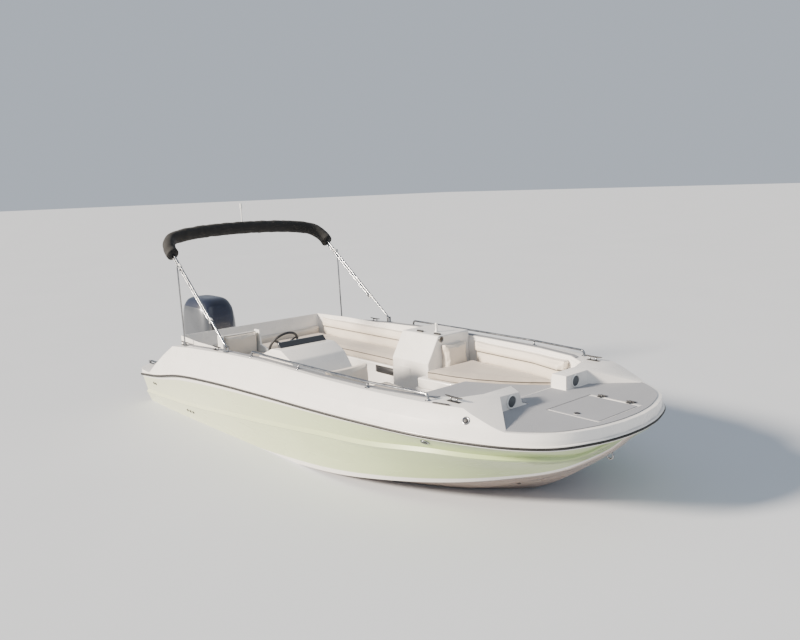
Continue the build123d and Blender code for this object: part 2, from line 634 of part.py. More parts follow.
# Helm seat on its pedestal.
with BuildPart() as helm_pedestal:
    rod((helm_seat_x, wheel_y, sole_z + mat + seam), (helm_seat_x, wheel_y, sole_z + mat + 14), 150)
    rod((helm_seat_x, wheel_y, sole_z + mat + 14), (helm_seat_x, wheel_y, helm_seat_z - 34), seat_post_r)
    rod((helm_seat_x, wheel_y, helm_seat_z - 34), (helm_seat_x, wheel_y, helm_seat_z - 8), swivel_r)
helm_pedestal.part.label = "helm_pedestal"
seat_back_x = helm_seat_x - helm_seat_r
with BuildPart() as helm_shell:
    box(seat_back_x, helm_seat_x + helm_seat_r, wheel_y - helm_seat_r, wheel_y + helm_seat_r,
        helm_seat_z - 29, helm_seat_z)
    box(seat_back_x, seat_back_x + 22, wheel_y - helm_seat_r, wheel_y + helm_seat_r, helm_seat_z, 980)
    # Side wings round the cushions.
    for side in (1, -1):
        prism_y([(seat_back_x, helm_seat_z - 1), (helm_seat_x + 90, helm_seat_z - 1),
                 (helm_seat_x + 40, helm_seat_z + 150), (seat_back_x + 120, helm_seat_z + 190),
                 (seat_back_x + 110, 1000), (seat_back_x, 1000)],
                wheel_y + side * helm_seat_r, wheel_y + side * (helm_seat_r + 20))
        box(seat_back_x, helm_seat_x + 90, wheel_y + side * (helm_seat_r - 1),
            wheel_y + side * (helm_seat_r + 20), helm_seat_z - 29, helm_seat_z)
    rod((helm_seat_x, wheel_y, helm_seat_z - 40), (helm_seat_x, wheel_y, helm_seat_z - 5),
        swivel_r + shaft_clearance, Mode.SUBTRACT)
helm_shell.part.label = "helm_shell"
with BuildPart() as helm_cushion:
    box(seat_back_x + 106, helm_seat_x + helm_seat_r, wheel_y - helm_seat_r + seam,
        wheel_y + helm_seat_r - seam, helm_seat_z + seam, helm_seat_z + 110)
helm_cushion.part.label = "helm_cushion"
with BuildPart() as helm_back:
    box(seat_back_x + 22 + seam, seat_back_x + 104, wheel_y - helm_seat_r + seam,
        wheel_y + helm_seat_r - seam, helm_seat_z + seam, 1000)
helm_back.part.label = "helm_back"

# Aft bench and port lounge.
aft_wall_x = cockpit_aft_x + lining
pocket = (lounge_fwd_x - 420, lounge_fwd_x - 90)      # open pocket in the lounge's front
with BuildPart() as lounge_base:
    inner = side_points(aft_wall_x, aft_bench_x, lining + 4)
    outer = side_points(lounge_fwd_x, aft_wall_x, lining + cushion_gap)
    front = [(aft_bench_x, seat_front_y), (lounge_fwd_x, seat_front_y)]
    prism_z([(x, -y) for x, y in inner] + front + outer, sole_z + seam, lounge_z)
    box(*pocket, seat_front_y - 1, seat_front_y + 90, lounge_z - 110, lounge_z - 25, Mode.SUBTRACT)
lounge_base.part.label = "lounge_base"
pad_in = backrest_thick + cushion_gap
with BuildPart() as lounge_cushions:
    low, high = lounge_z + seam, lounge_z + lounge_cushion
    bench_side = side_at(aft_wall_x + pad_in, lining + cushion_gap)
    prism_z([(aft_wall_x + pad_in, -bench_side), (aft_bench_x + 12, 6 - wall_y),
             (aft_bench_x + 12, seat_front_y - 20), (aft_wall_x + pad_in, seat_front_y - 20)], low, high)
    prism_z([(aft_wall_x + pad_in, seat_front_y - 14), (aft_bench_x - 8, seat_front_y - 14),
             (aft_bench_x - 8, wall_y - pad_in - 2), (aft_wall_x + pad_in, wall_y - pad_in - 2)], low, high)
    prism_z([(aft_bench_x - 2, seat_front_y - 12), (lounge_fwd_x - 4, seat_front_y - 12),
             (lounge_fwd_x - 4, wall_y - pad_in), (aft_bench_x - 2, wall_y - pad_in)], low, high)
lounge_cushions.part.label = "lounge_cushions"
roll_z = 780               # foot of the backrests' upper roll
with BuildPart() as lounge_backs:
    back_y = side_at(aft_wall_x, lining + cushion_gap)
    back_top = gunwale_height(cockpit_aft_x) + 30
    prism_z([(aft_wall_x, -back_y), (aft_wall_x + backrest_thick, -back_y),
             (aft_wall_x + backrest_thick, wall_y - pad_in - 2), (aft_wall_x, wall_y - pad_in - 2)],
            lounge_z + seam, back_top)
    start_x = aft_wall_x + 97
    for z0, z1, thick in ((lounge_z + seam, roll_z - seam, 70), (roll_z, lounge_back_z, backrest_thick)):
        back = side_points(lounge_fwd_x - 4, start_x, lining + cushion_gap)
        prism_z([(start_x, wall_y - thick), (lounge_fwd_x - 4, wall_y - thick)] + back, z0, z1)
lounge_backs.part.label = "lounge_backs"


# Grab rails on the gunwales.
def grab_rail(side):
    """A tube along the gunwale with its posts, its forward end bent down."""
    height = gunwale_z + rail_rise
    line = [(x, side * (gunwale_edge(x) - rail_in), height) for x in rail_posts]
    for start, end in zip(line, line[1:]):
        rod(start, end, rail_tube_r)
    for x, y, z in line:
        rod((x, y, gunwale_height(x) - 10), (x, y, z), rail_tube_r)
        with Locations((x, y, z)):
            Sphere(rail_tube_r + 0.5)
    stand_on_gunwales()


with BuildPart() as rail_port:
    grab_rail(1)
rail_port.part.label = "rail_port"
with BuildPart() as rail_starboard:
    grab_rail(-1)
rail_starboard.part.label = "rail_starboard"

# Mooring cleats.
with BuildPart() as cleats:
    for x, inboard in cleat_places:
        for side in (1, -1):
            y, z = side * (gunwale_edge(x) - inboard), gunwale_height(x) + 4
            for dx in (-32, 32):
                rod((x + dx, y, z - 20), (x + dx, y, z + 26), 8)
            box(x - 95, x + 95, y - 11, y + 11, z + 24, z + 38)
    stand_on_gunwales()
cleats.part.label = "cleats"

# Speakers in the blocks, filler caps on the gunwales, and the bow's two lights.
with BuildPart() as deck_fittings:
    for side in (1, -1):
        y, z = side * (block_in + speaker_in), foredeck_z + 62
        rod((block_face_x + seam, y, z), (block_face_x + 12, y, z), speaker_r)
        rod((block_face_x + 6, y, z), (block_face_x - 32, y, z), speaker_r - 10)
    for side in (1, -1):
        x = block_face_x - 20
        y = side * (gunwale_edge(x) - 40)
        rod((x, y, gunwale_z - 5), (x, y, gunwale_z + 9), 32)
        light_x, light_y = bow_x - 42, side * 150
        box(light_x - 20, light_x + 26, light_y - 26, light_y + 26, foredeck_z - 70, foredeck_z - 30)
    add(deck.part, mode=Mode.SUBTRACT)
    add(rub_rail.part, mode=Mode.SUBTRACT)
deck_fittings.part.label = "deck_fittings"

# Tow eyes on the stem and the transom: x, y, z of each ring's middle.
eye_places = [(bow_x - 210, 0, sheer_z - 222), (transom_x - 12, half_beam - 440, 150),
              (transom_x - 12, 440 - half_beam, 150)]
with BuildPart() as tow_eyes:
    for x, y, z in eye_places:
        with BuildSketch(Plane.XZ.offset(-y)):
            with Locations((x, z)):
                RegularPolygon(32, 12)
                RegularPolygon(20, 12, mode=Mode.SUBTRACT)
        extrude(amount=5, both=True)
    add(hull.part, mode=Mode.SUBTRACT)
tow_eyes.part.label = "tow_eyes"

# Swim ladder, folded on the starboard platform.
ladder_x = transom_x - platform_reach - 26
ladder_z = platform_z + 24
ladder_ys = (-640, -960)
ladder_length = 420
ladder_pin_r = 5
with BuildPart() as swim_ladder:
    for y in ladder_ys:
        rod((ladder_x - 13, y, ladder_z), (ladder_x + ladder_length, y, ladder_z), 12)
    for x in (130, 265, 400):
        box(ladder_x + x - 28, ladder_x + x + 28, ladder_ys[1], ladder_ys[0], ladder_z - 5, ladder_z + 5)
    for y in ladder_ys:
        rod((ladder_x, y - 20, ladder_z), (ladder_x, y + 20, ladder_z), ladder_pin_r + pin_clearance,
            Mode.SUBTRACT)
swim_ladder.part.label = "swim_ladder"
with BuildPart() as ladder_mounts:
    for y, outwards in ((ladder_ys[0], 1), (ladder_ys[1], -1)):
        y0, y1 = sorted((y + outwards * 18, y + outwards * 42))
        box(ladder_x - 14, ladder_x + 110, y0, y1, platform_z + seam, platform_z + 8)
        box(ladder_x - 14, ladder_x + 14, y0, y1, platform_z + 8, ladder_z + 14)
        rod((ladder_x, y + outwards * 20, ladder_z), (ladder_x, y - outwards * 14, ladder_z), ladder_pin_r)
ladder_mounts.part.label = "ladder_mounts"

# Bimini frame.  Its plane holds both legs: local x is across the boat, local y runs up the slope.
slope = radians(frame_slope)
pivot_y = flank[-1][1] * half_beam - 31
pivot_z = gunwale_z + pivot_rise
frame_plane = Plane(origin=(pivot_x, 0, pivot_z), x_dir=(0, 1, 0), z_dir=(sin(slope), 0, cos(slope)))


def on_frame(y, distance, below=0):
    """A point of the bimini: across the boat, up its slanting legs, and under their plane."""
    return (pivot_x - distance * cos(slope) - below * sin(slope), y,
            pivot_z + distance * sin(slope) - below * cos(slope))


def leg_y(distance):
    """Half-width of the frame along its legs."""
    return pivot_y - leg_in * distance / shoulder_at


def bow_points(start):
    """The bow's corners in the frame's plane, from one lower end over the crown to the other."""
    half = [(leg_y(start), start), (pivot_y - leg_in, shoulder_at), crown_edge]
    return half + [(-y, distance) for y, distance in reversed(half)]


with BuildPart() as main_bow:
    with BuildLine(frame_plane) as main_path:
        FilletPolyline(*bow_points(0), radius=crown_bends)
    with BuildSketch(Plane(origin=main_path.line @ 0, z_dir=main_path.line % 0)):
        Circle(tube_r)
    sweep()
    for side in (1, -1):
        rod((pivot_x, side * pivot_y - 11, pivot_z), (pivot_x, side * pivot_y + 11, pivot_z), 15)
    for side in (1, -1):
        rod((pivot_x, side * pivot_y - 16, pivot_z), (pivot_x, side * pivot_y + 16, pivot_z),
            frame_pin_r + pin_clearance, Mode.SUBTRACT)
main_bow.part.label = "main_bow"

with BuildPart() as second_bow:
    with BuildLine(frame_plane.offset(-second_bow_drop)) as second_path:
        FilletPolyline(*bow_points(second_bow_start), radius=crown_bends)
    with BuildSketch(Plane(origin=second_path.line @ 0, z_dir=second_path.line % 0)):
        Circle(tube_r)
    sweep()
second_bow.part.label = "second_bow"

# Boot: the rolled canopy, laced round both bows above the legs.
with BuildPart() as boot:
    with BuildLine(frame_plane.offset(-second_bow_drop / 2)) as boot_path:
        FilletPolyline(*bow_points(boot_start), radius=crown_bends)
    start = boot_path.line @ 0
    with BuildSketch(Plane(origin=start, x_dir=frame_plane.z_dir, z_dir=boot_path.line % 0)):
        Polygon(*[((boot_r + second_bow_drop / 2) * cos(turn * pi / 7), boot_r * sin(turn * pi / 7))
                  for turn in range(14)], align=None)
        SlotOverall(second_bow_drop + 2 * tube_r + 2 * seam, 2 * (tube_r + seam), mode=Mode.SUBTRACT)
    sweep()
boot.part.label = "boot"

with BuildPart() as light_mast:
    crown = on_frame(0, crown_edge[1], second_bow_drop / 2)
    base_z = crown[2] + boot_r * 1.18
    rod((crown[0], 0, base_z), (crown[0], 0, crown[2] + boot_r + mast_top), 8)
    rod((crown[0], 0, crown[2] + boot_r + mast_top), (crown[0], 0, crown[2] + boot_r + mast_top + 60), 15)
    rod((crown[0], 0, base_z - 10), (crown[0], 0, base_z + 16), 18)
    add(boot.part, mode=Mode.SUBTRACT)
light_mast.part.label = "light_mast"

# Clamps that carry the struts and the second bow on the legs.
with BuildPart() as leg_clamps:
    for side in (1, -1):
        up = Vector(-cos(slope), 0, sin(slope))
        hinge = Vector(*on_frame(side * leg_y(slider_at), slider_at))
        rod(tuple(hinge - up * 22), tuple(hinge + up * 22), 19)
        rod(tuple(hinge), (hinge.X, side * (leg_y(slider_at) + strut_out + 8), hinge.Z), frame_pin_r)
        low = Vector(*on_frame(side * leg_y(second_bow_start), second_bow_start - 16))
        rod(tuple(low - up * 14), tuple(low + up * 14), 19)
        rod(tuple(low), on_frame(side * leg_y(second_bow_start), second_bow_start - 16,
                                 second_bow_drop + tube_r), 9)
    add(main_bow.part, mode=Mode.SUBTRACT)
    add(second_bow.part, mode=Mode.SUBTRACT)
leg_clamps.part.label = "leg_clamps"

# Deck hinges of the frame and deck feet of the struts.
strut_y = leg_y(slider_at) + strut_out
with BuildPart() as frame_mounts:
    for side in (1, -1):
        ground = gunwale_height(pivot_x) + 1
        box(pivot_x - 38, pivot_x + 38, side * pivot_y - 26, side * pivot_y + 26, ground - 1, ground + 6)
        for y in (side * pivot_y - 21, side * pivot_y + 15):
            box(pivot_x - 14, pivot_x + 14, y, y + 6, ground + 6, pivot_z + 12)
        rod((pivot_x, side * pivot_y - 24, pivot_z), (pivot_x, side * pivot_y + 24, pivot_z), frame_pin_r)
        ground = gunwale_height(strut_foot_x)
        box(strut_foot_x - 26, strut_foot_x + 26, side * strut_y - 13, side * strut_y + 13, ground - 2,
            ground + 14)
    stand_on_gunwales()
frame_mounts.part.label = "frame_mounts"

# Grey grips along the gunwales' inner edges, cut out round what stands on them.
grip_in, grip_out = 8, 62  # grips along the gunwale, from the cockpit's edge
with BuildPart() as gunwale_grips:
    for side in (1, -1):
        outer = side_points(cockpit_fwd_x - 200, cockpit_aft_x, -grip_out)
        inner = side_points(cockpit_aft_x, cockpit_fwd_x - 200, -grip_in)
        prism_z([(x, side * y) for x, y in outer + inner], 0, sky)
    top = [(x, z + mat) for x, z in gunwale_line] + [(x, z + seam) for x, z in reversed(gunwale_line)]
    prism_y(top, -half_beam, half_beam, Mode.INTERSECT)
    for fitting in (rail_port, rail_starboard, cleats, frame_mounts):
        add(fitting.part, mode=Mode.SUBTRACT)
gunwale_grips.part.label = "gunwale_grips"


def strut(side):
    """One tube from its eye on the leg's clamp down to its deck foot."""
    top = on_frame(side * strut_y, slider_at)
    foot = (strut_foot_x, side * strut_y, gunwale_height(strut_foot_x) + 15)
    rod(top, foot, strut_r)
    rod((top[0], top[1] - 5, top[2]), (top[0], top[1] + 5, top[2]), 13)
    rod((top[0], top[1] - 9, top[2]), (top[0], top[1] + 9, top[2]), frame_pin_r + pin_clearance,
        Mode.SUBTRACT)


with BuildPart() as strut_port:
    strut(1)
strut_port.part.label = "strut_port"
with BuildPart() as strut_starboard:
    strut(-1)
strut_starboard.part.label = "strut_starboard"

# Outboard motor: clamp bracket on the transom, swivel bracket, leg, cowl and propeller.
clamp_y0, clamp_y1 = 100, 126
with BuildPart() as clamp_bracket:
    inside = transom_x + transom_board + seam
    plate = [(transom_x - 84, 20), (transom_x - seam, 20), (transom_x - seam, motor_transom_z + seam),
             (inside, motor_transom_z + seam), (inside, 160), (inside + 20, 160),
             (inside + 20, motor_transom_z + 60), (tilt_x + 30, tilt_z + 34), (tilt_x - 60, tilt_z + 34),
             (transom_x - 84, tilt_z - 30)]
    for side in (1, -1):
        prism_y(plate, min(side * clamp_y0, side * clamp_y1), max(side * clamp_y0, side * clamp_y1))
    rod((tilt_x, -140, tilt_z), (tilt_x, 140, tilt_z), tilt_pin_r + shaft_clearance, Mode.SUBTRACT)
clamp_bracket.part.label = "clamp_bracket"

with BuildPart() as swivel_bracket:
    prism_y([(steer_x + 20, -160), (transom_x - 12, -160), (transom_x - 12, motor_transom_z + 20),
             (tilt_x + 22, motor_transom_z + 34), (tilt_x + 22, tilt_z + 26), (steer_x + 20, tilt_z + 26)],
            -80, 80)
    rod((steer_x, 0, -210), (steer_x, 0, tilt_z + 62), 38)
    rod((steer_x, 0, -220), (steer_x, 0, tilt_z + 70), king_pin + shaft_clearance, Mode.SUBTRACT)
    rod((tilt_x, -134, tilt_z), (tilt_x, 134, tilt_z), tilt_pin_r)
swivel_bracket.part.label = "swivel_bracket"

leg_front_x = steer_x - 46
leg_back_x = steer_x - leg_back
yoke_z = tilt_z + 68
with BuildPart() as motor_leg:
    box(steer_x + 50, leg_back_x, -64, 64, yoke_z, cowl_base_z - seam)
    prism_z([(leg_front_x, -30), (leg_front_x - 60, -72), (leg_back_x + 60, -52), (leg_back_x, -12),
             (leg_back_x, 12), (leg_back_x + 60, 52), (leg_front_x - 60, 72), (leg_front_x, 30)],
            cav_z, yoke_z)
    # Lower yoke under the swivel barrel.
    box(steer_x + 44, leg_front_x - 20, -40, 40, -270, -218)
    rod((steer_x, 0, -240), (steer_x, 0, yoke_z + 20), king_pin)
    # Anti-ventilation plate.
    prism_z([(leg_front_x + 10, -70), (leg_front_x - 80, -128), (leg_back_x - 60, -128),
             (leg_back_x - 130, -60), (leg_back_x - 130, 60), (leg_back_x - 60, 128),
             (leg_front_x - 80, 128), (leg_front_x + 10, 70)], cav_z - 14, cav_z)
    # Strut of the gearcase, torpedo and skeg.
    prism_z([(leg_front_x - 20, 0), (leg_front_x - 80, -34), (prop_x + 130, -22), (prop_x + 78, -5),
             (prop_x + 78, 5), (prop_x + 130, 22), (leg_front_x - 80, 34)], prop_z, cav_z - 14)
    with BuildSketch(Plane.XZ) as torpedo:
        Polygon((leg_front_x + 30, prop_z), (leg_front_x + 8, prop_z + 26), (leg_front_x - 50, prop_z + 50),
                (leg_front_x - 190, prop_z + 56), (prop_x + 66, prop_z + 46), (prop_x + 66, prop_z),
                align=None)
    revolve(torpedo.sketch, axis=Axis((0, 0, prop_z), (1, 0, 0)))
    rod((prop_x + 80, 0, prop_z), (prop_x - 84, 0, prop_z), prop_shaft)
    prism_y([(leg_front_x - 90, prop_z - 20), (prop_x + 90, prop_z - 20), (prop_x + 96, prop_z - 205),
             (prop_x + 150, prop_z - 215)], -6, 6)
motor_leg.part.label = "motor_leg"

with BuildPart() as motor_cowl:
    for rise, front, back, wide in cowl_sections:
        length = cowl_length - front - back
        half = cowl_half * wide
        middle_x = cowl_front_x - front - length / 2
        with BuildSketch(Plane.XY.offset(cowl_base_z + rise)):
            Polygon(*[(middle_x + length / 2 * (abs(cos(turn)) ** 0.5) * (1 if cos(turn) > 0 else -1),
                       half * (abs(sin(turn)) ** 0.62) * (1 if sin(turn) > 0 else -1))
                      for turn in [(k + 0.5) * pi / 12 for k in range(24)]], align=None)
    loft(ruled=True)
motor_cowl.part.label = "motor_cowl"

# Propeller.  Blade columns: radius, chord, thickness.
blade_rows = [(hub_r - 6, 62, 10), (95, 96, 8), (140, 104, 6), (prop_r - 7, 64, 3)]
with BuildPart() as propeller:
    rod((prop_x + 60, 0, prop_z), (prop_x - 60, 0, prop_z), hub_r)
    rod((prop_x - 60, 0, prop_z), (prop_x - 90, 0, prop_z), hub_r / 2)
    for turn in (0, 120, 240):
        with BuildPart(mode=Mode.PRIVATE) as blade:
            for reach, chord, thick in blade_rows:
                twist = degrees(atan2(prop_pitch, 2 * pi * reach))
                with BuildSketch(Plane((0, 0, reach), x_dir=(sin(radians(twist)), cos(radians(twist)), 0),
                                       z_dir=(0, 0, 1))):
                    Polygon((-chord / 2, 0), (-chord / 4, thick / 2), (chord / 4, thick / 2), (chord / 2, 0),
                            (chord / 4, -thick / 2), (-chord / 4, -thick / 2), align=None)
            loft(ruled=True)
        add(blade.part.rotate(Axis.X, turn).moved(Location((prop_x, 0, prop_z))))
    rod((prop_x + 70, 0, prop_z), (prop_x - 96, 0, prop_z), prop_shaft + shaft_clearance, Mode.SUBTRACT)
propeller.part.label = "propeller"

pieces = [hull, deck, liner, rub_rail, foredeck_mat, cockpit_mat, platform_mats, gunwale_grips, bow_hatch,
          hatch_hinges, bow_step, bow_seats, bow_cushion_port, bow_cushion_starboard, bow_back_port,
          bow_back_starboard, helm_console, port_console, bow_lounge_pads, windscreen, steering_wheel,
          steering_column, instrument_panel, console_fittings, helm_pedestal, helm_shell, helm_cushion,
          helm_back, lounge_base, lounge_cushions, lounge_backs, rail_port, rail_starboard, cleats,
          deck_fittings, tow_eyes, swim_ladder, ladder_mounts, main_bow, second_bow, boot, light_mast,
          leg_clamps, frame_mounts, strut_port, strut_starboard, clamp_bracket, swivel_bracket, motor_leg,
          motor_cowl, propeller]
os.makedirs("parts", exist_ok=True)
for piece in pieces:
    print(piece.part.label, piece.part.is_valid, len(piece.part.solids()),
          round(piece.part.volume / 1e9, 5))
    export_step(piece.part, "parts/" + piece.part.label + ".step")
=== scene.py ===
"""Looks of an open-bow outboard deck boat: its gelcoat, mats, cushions, canopy frame and motor.

Lengths are in metres, +X to the bow, +Y to port, +Z up, and the floor is at the waterline.
"""

import bmesh
import bpy
import numpy as np
from bpy.props import FloatProperty, FloatVectorProperty, PointerProperty
from mathutils import Matrix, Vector
from mathutils.bvhtree import BVHTree


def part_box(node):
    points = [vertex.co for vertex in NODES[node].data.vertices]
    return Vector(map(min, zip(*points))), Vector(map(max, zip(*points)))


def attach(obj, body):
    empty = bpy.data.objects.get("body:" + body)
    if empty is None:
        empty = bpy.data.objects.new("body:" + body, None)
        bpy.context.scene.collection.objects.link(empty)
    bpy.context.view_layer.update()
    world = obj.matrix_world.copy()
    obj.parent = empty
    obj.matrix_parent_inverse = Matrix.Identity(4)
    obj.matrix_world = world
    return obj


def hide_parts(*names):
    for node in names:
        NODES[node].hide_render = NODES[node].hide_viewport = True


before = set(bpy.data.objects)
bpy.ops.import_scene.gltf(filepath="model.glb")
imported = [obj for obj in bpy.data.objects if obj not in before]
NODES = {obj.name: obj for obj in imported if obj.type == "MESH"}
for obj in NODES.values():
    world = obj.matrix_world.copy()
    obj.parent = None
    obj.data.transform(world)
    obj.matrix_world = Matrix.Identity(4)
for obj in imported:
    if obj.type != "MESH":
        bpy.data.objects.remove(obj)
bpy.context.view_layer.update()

bl_info = {
    "name": "Open Bow Deck Boat",
    "version": (1, 0, 0),
    "blender": (4, 5, 0),
    "location": "View3D > Sidebar > Boat",
    "description": "Dresses the packed deck boat with its gelcoat, cushions, canopy and motor",
    "category": "Add Mesh",
}


# Shapes worked out as arrays

NO_LENGTH = 1e-12
PARALLEL = 1e-3
STEEP = 0.9
READINGS = 24


def unit(vectors):
    """Vectors divided by their lengths."""
    return vectors / np.maximum(np.linalg.norm(vectors, axis=-1, keepdims=True), NO_LENGTH)


def full_turn(count):
    """Angles of even steps once round, without the last."""
    return np.arange(count) * 2 * np.pi / count


def running(points, power=1.0):
    """The sum of the chords up to each point of a line, each chord raised to a power."""
    chords = np.linalg.norm(np.diff(points, axis=0), axis=1)
    return np.concatenate([[0], np.cumsum(chords ** power)])


def through(points, count, closed=False):
    """A smooth line through points: cubics over the square roots of the chords, read at even steps."""
    points = np.asarray(points, float)
    if closed:
        points = np.vstack([points, points[:1]])
    knots = running(points, 0.5)
    dense = hermite(knots, points, np.linspace(0, knots[-1], READINGS * len(points)), closed)
    run = running(dense)
    even = np.linspace(0, run[-1], count + 1 if closed else count)
    line = np.stack([np.interp(even, run, values) for values in dense.T], axis=1)
    return line[:-1] if closed else line


def hermite(knots, values, at, closed=False):
    """Values at new places on cubics, each slope that of the line between a knot's neighbours."""
    n = len(knots)
    before, after = np.maximum(np.arange(n) - 1, 0), np.minimum(np.arange(n) + 1, n - 1)
    slope = (values[after] - values[before]) / (knots[after] - knots[before])[:, None]
    if closed:
        span = knots[1] - knots[0] + knots[-1] - knots[-2]
        slope[0] = slope[-1] = (values[1] - values[-2]) / span
    k = np.clip(np.searchsorted(knots, at, "right") - 1, 0, n - 2)
    gap = (knots[k + 1] - knots[k])[:, None]
    t = (np.asarray(at) - knots[k])[:, None] / gap
    return ((1 + 2 * t) * (1 - t) ** 2 * values[k] + t * (1 - t) ** 2 * gap * slope[k]
            + t * t * (3 - 2 * t) * values[k + 1] - t * t * (1 - t) * gap * slope[k + 1])


def frames(path, up=(0, 0, 1)):
    """Side and top directions along a path, each carried on from the last with no twist."""
    tangent = unit(np.gradient(path, axis=0))
    side = np.empty_like(path)
    first = np.cross(tangent[0], up)
    if np.linalg.norm(first) < PARALLEL:
        first = np.cross(tangent[0], (1, 0, 0))
    side[0] = unit(first)
    for k in range(1, len(path)):
        carried = side[k - 1] - tangent[k] * (side[k - 1] @ tangent[k])
        side[k] = unit(carried)
    return side, np.cross(side, tangent)


def swept(profile, path, up=(0, 0, 1), scale=None):
    """A profile carried along a path: path point + across * side + above * top, as a grid."""
    profile, path = np.asarray(profile, float), np.asarray(path, float)
    side, top = frames(path, up)
    size = np.ones(len(path)) if scale is None else np.asarray(scale, float)
    return (path[:, None] + size[:, None, None] * (profile[None, :, :1] * side[:, None]
                                                   + profile[None, :, 1:] * top[:, None]))


def circle(radius, count=16, wide=1.0):
    """A ring of points, wide times as broad as it is high."""
    turn = full_turn(count)
    return np.stack([radius * wide * np.cos(turn), radius * np.sin(turn)], axis=1)


def spread(axis, turn):
    """Directions at angles round an axis: cos a * across + sin a * up."""
    aside = np.array((0, 0, 1.0)) if abs(axis[2]) < STEEP else np.array((1.0, 0, 0))
    across = unit(np.cross(aside, axis))
    up = np.cross(axis, across)
    return np.cos(turn)[:, None] * across + np.sin(turn)[:, None] * up


def rounded_corners(outline, radius, count=5):
    """A plan outline whose corners are cut by a quadratic curve that starts radius before each."""
    line = np.asarray(outline, float)
    before, after = np.roll(line, 1, axis=0), np.roll(line, -1, axis=0)
    first = line + radius * unit(before - line)
    last = line + radius * unit(after - line)
    t = np.linspace(0, 1, count)[None, :, None]
    curve = (1 - t) ** 2 * first[:, None] + 2 * t * (1 - t) * line[:, None] + t * t * last[:, None]
    return curve.reshape(-1, 2)


def oblong(x0, x1, y0, y1, radius):
    """The plan outline of a rectangle with rounded corners."""
    return rounded_corners([(x0, y0), (x1, y0), (x1, y1), (x0, y1)], radius)


# Meshes made from the arrays

MERGE = 1e-5
FLAT = 0.01
MANY_CORNERS = 8
SHARPER_BY = 8
TUBE_END = 0.86


def mended(mesh):
    """Doubles merged, slivers dissolved and faces turned outwards."""
    work = bmesh.new()
    work.from_mesh(mesh)
    bmesh.ops.remove_doubles(work, verts=work.verts, dist=MERGE)
    bmesh.ops.dissolve_degenerate(work, edges=work.edges, dist=MERGE)
    bmesh.ops.recalc_face_normals(work, faces=work.faces)
    work.to_mesh(mesh)
    work.free()


def linked(name, mesh):
    """A new object in the scene with a smoothly shaded mesh."""
    mesh.shade_smooth()
    thing = bpy.data.objects.new(name, mesh)
    bpy.context.scene.collection.objects.link(thing)
    return thing


def made(name, points, faces, uv=None):
    """A new object from points and faces, mended."""
    mesh = bpy.data.meshes.new(name)
    mesh.from_pydata(np.asarray(points).tolist(), [], faces)
    if uv is not None:
        corner = np.empty(len(mesh.loops), np.int32)
        mesh.loops.foreach_get("vertex_index", corner)
        layer = mesh.uv_layers.new(name="UVMap")
        layer.data.foreach_set("uv", np.asarray(uv, np.float32).reshape(-1, 2)[corner].ravel())
    mended(mesh)
    return linked(name, mesh)


def surface(name, grid, around=False, capped=False, uv=None):
    """A mesh over a grid of points: each cell is one face, around joins its last column to its
    first, and capped closes both ends with a face."""
    rows, columns = grid.shape[:2]
    index = np.arange(rows * columns).reshape(rows, columns)
    if around:
        index = np.hstack([index, index[:, :1]])
    cells = np.stack([index[:-1, :-1], index[:-1, 1:], index[1:, 1:], index[1:, :-1]], axis=-1)
    faces = cells.reshape(-1, 4).tolist()
    if capped:
        ends = index[:, :-1] if around else index
        faces += [ends[0][::-1].tolist(), ends[-1].tolist()]
    return made(name, grid.reshape(-1, 3), faces, uv)


def joined(name, parts):
    """Several objects made one mesh."""
    work = bmesh.new()
    for part in parts:
        work.from_mesh(part.data)
    mesh = bpy.data.meshes.new(name)
    work.to_mesh(mesh)
    work.free()
    for part in parts:
        bpy.data.objects.remove(part)
    return linked(name, mesh)


def copied(name, node_name):
    """A merged copy of a CAD node, free to be bevelled and dented.  Its flat faces are made whole,
    and the ones with many corners are then cut in triangles, so that no bevel folds them."""
    mesh = NODES[node_name].data.copy()
    work = bmesh.new()
    work.from_mesh(mesh)
    bmesh.ops.remove_doubles(work, verts=work.verts, dist=MERGE)
    bmesh.ops.dissolve_limit(work, angle_limit=FLAT, verts=work.verts, edges=work.edges)
    bmesh.ops.triangulate(work, faces=[face for face in work.faces if len(face.verts) > MANY_CORNERS])
    work.to_mesh(mesh)
    work.free()
    mesh.materials.clear()
    return linked(name, mesh)


def rounded(thing, width, segments=3, angle=32):
    """Edges rounded to a width, and shading kept flat across what stays sharp."""
    bevel = thing.modifiers.new("edges", "BEVEL")
    bevel.width, bevel.segments = width, segments
    bevel.limit_method, bevel.angle_limit = "ANGLE", np.radians(angle)
    thing.data.set_sharp_from_angle(angle=np.radians(angle + SHARPER_BY))
    return thing


def dress(thing, body, slot, finish, *nodes):
    """A piece gets its finish, its body and the nodes that it stands for.  The slot is not used."""
    thing.data.materials.clear()
    thing.data.materials.append(finish)
    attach(thing, body)
    if nodes:
        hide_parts(*nodes)
    return thing


def tube(name, points, radius, sides=16):
    """A round tube: a circle carried along a line, its ends drawn in."""
    path = np.asarray(points, float)
    size = np.ones(len(path))
    size[0] = size[-1] = TUBE_END
    return surface(name, swept(circle(radius, sides), path, scale=size), around=True, capped=True)


def revolved(name, profile, centre, axis, sides=48, closed=True):
    """A turned piece: each (radius, height) of the profile goes round the axis as
    centre + radius * direction + height * axis."""
    profile = np.asarray(profile, float)
    axis = unit(np.asarray(axis, float))
    out = spread(axis, full_turn(sides))
    grid = (np.asarray(centre, float) + profile[:, None, :1] * out[None]
            + profile[:, None, 1:] * axis)
    return surface(name, grid, around=True, capped=closed)


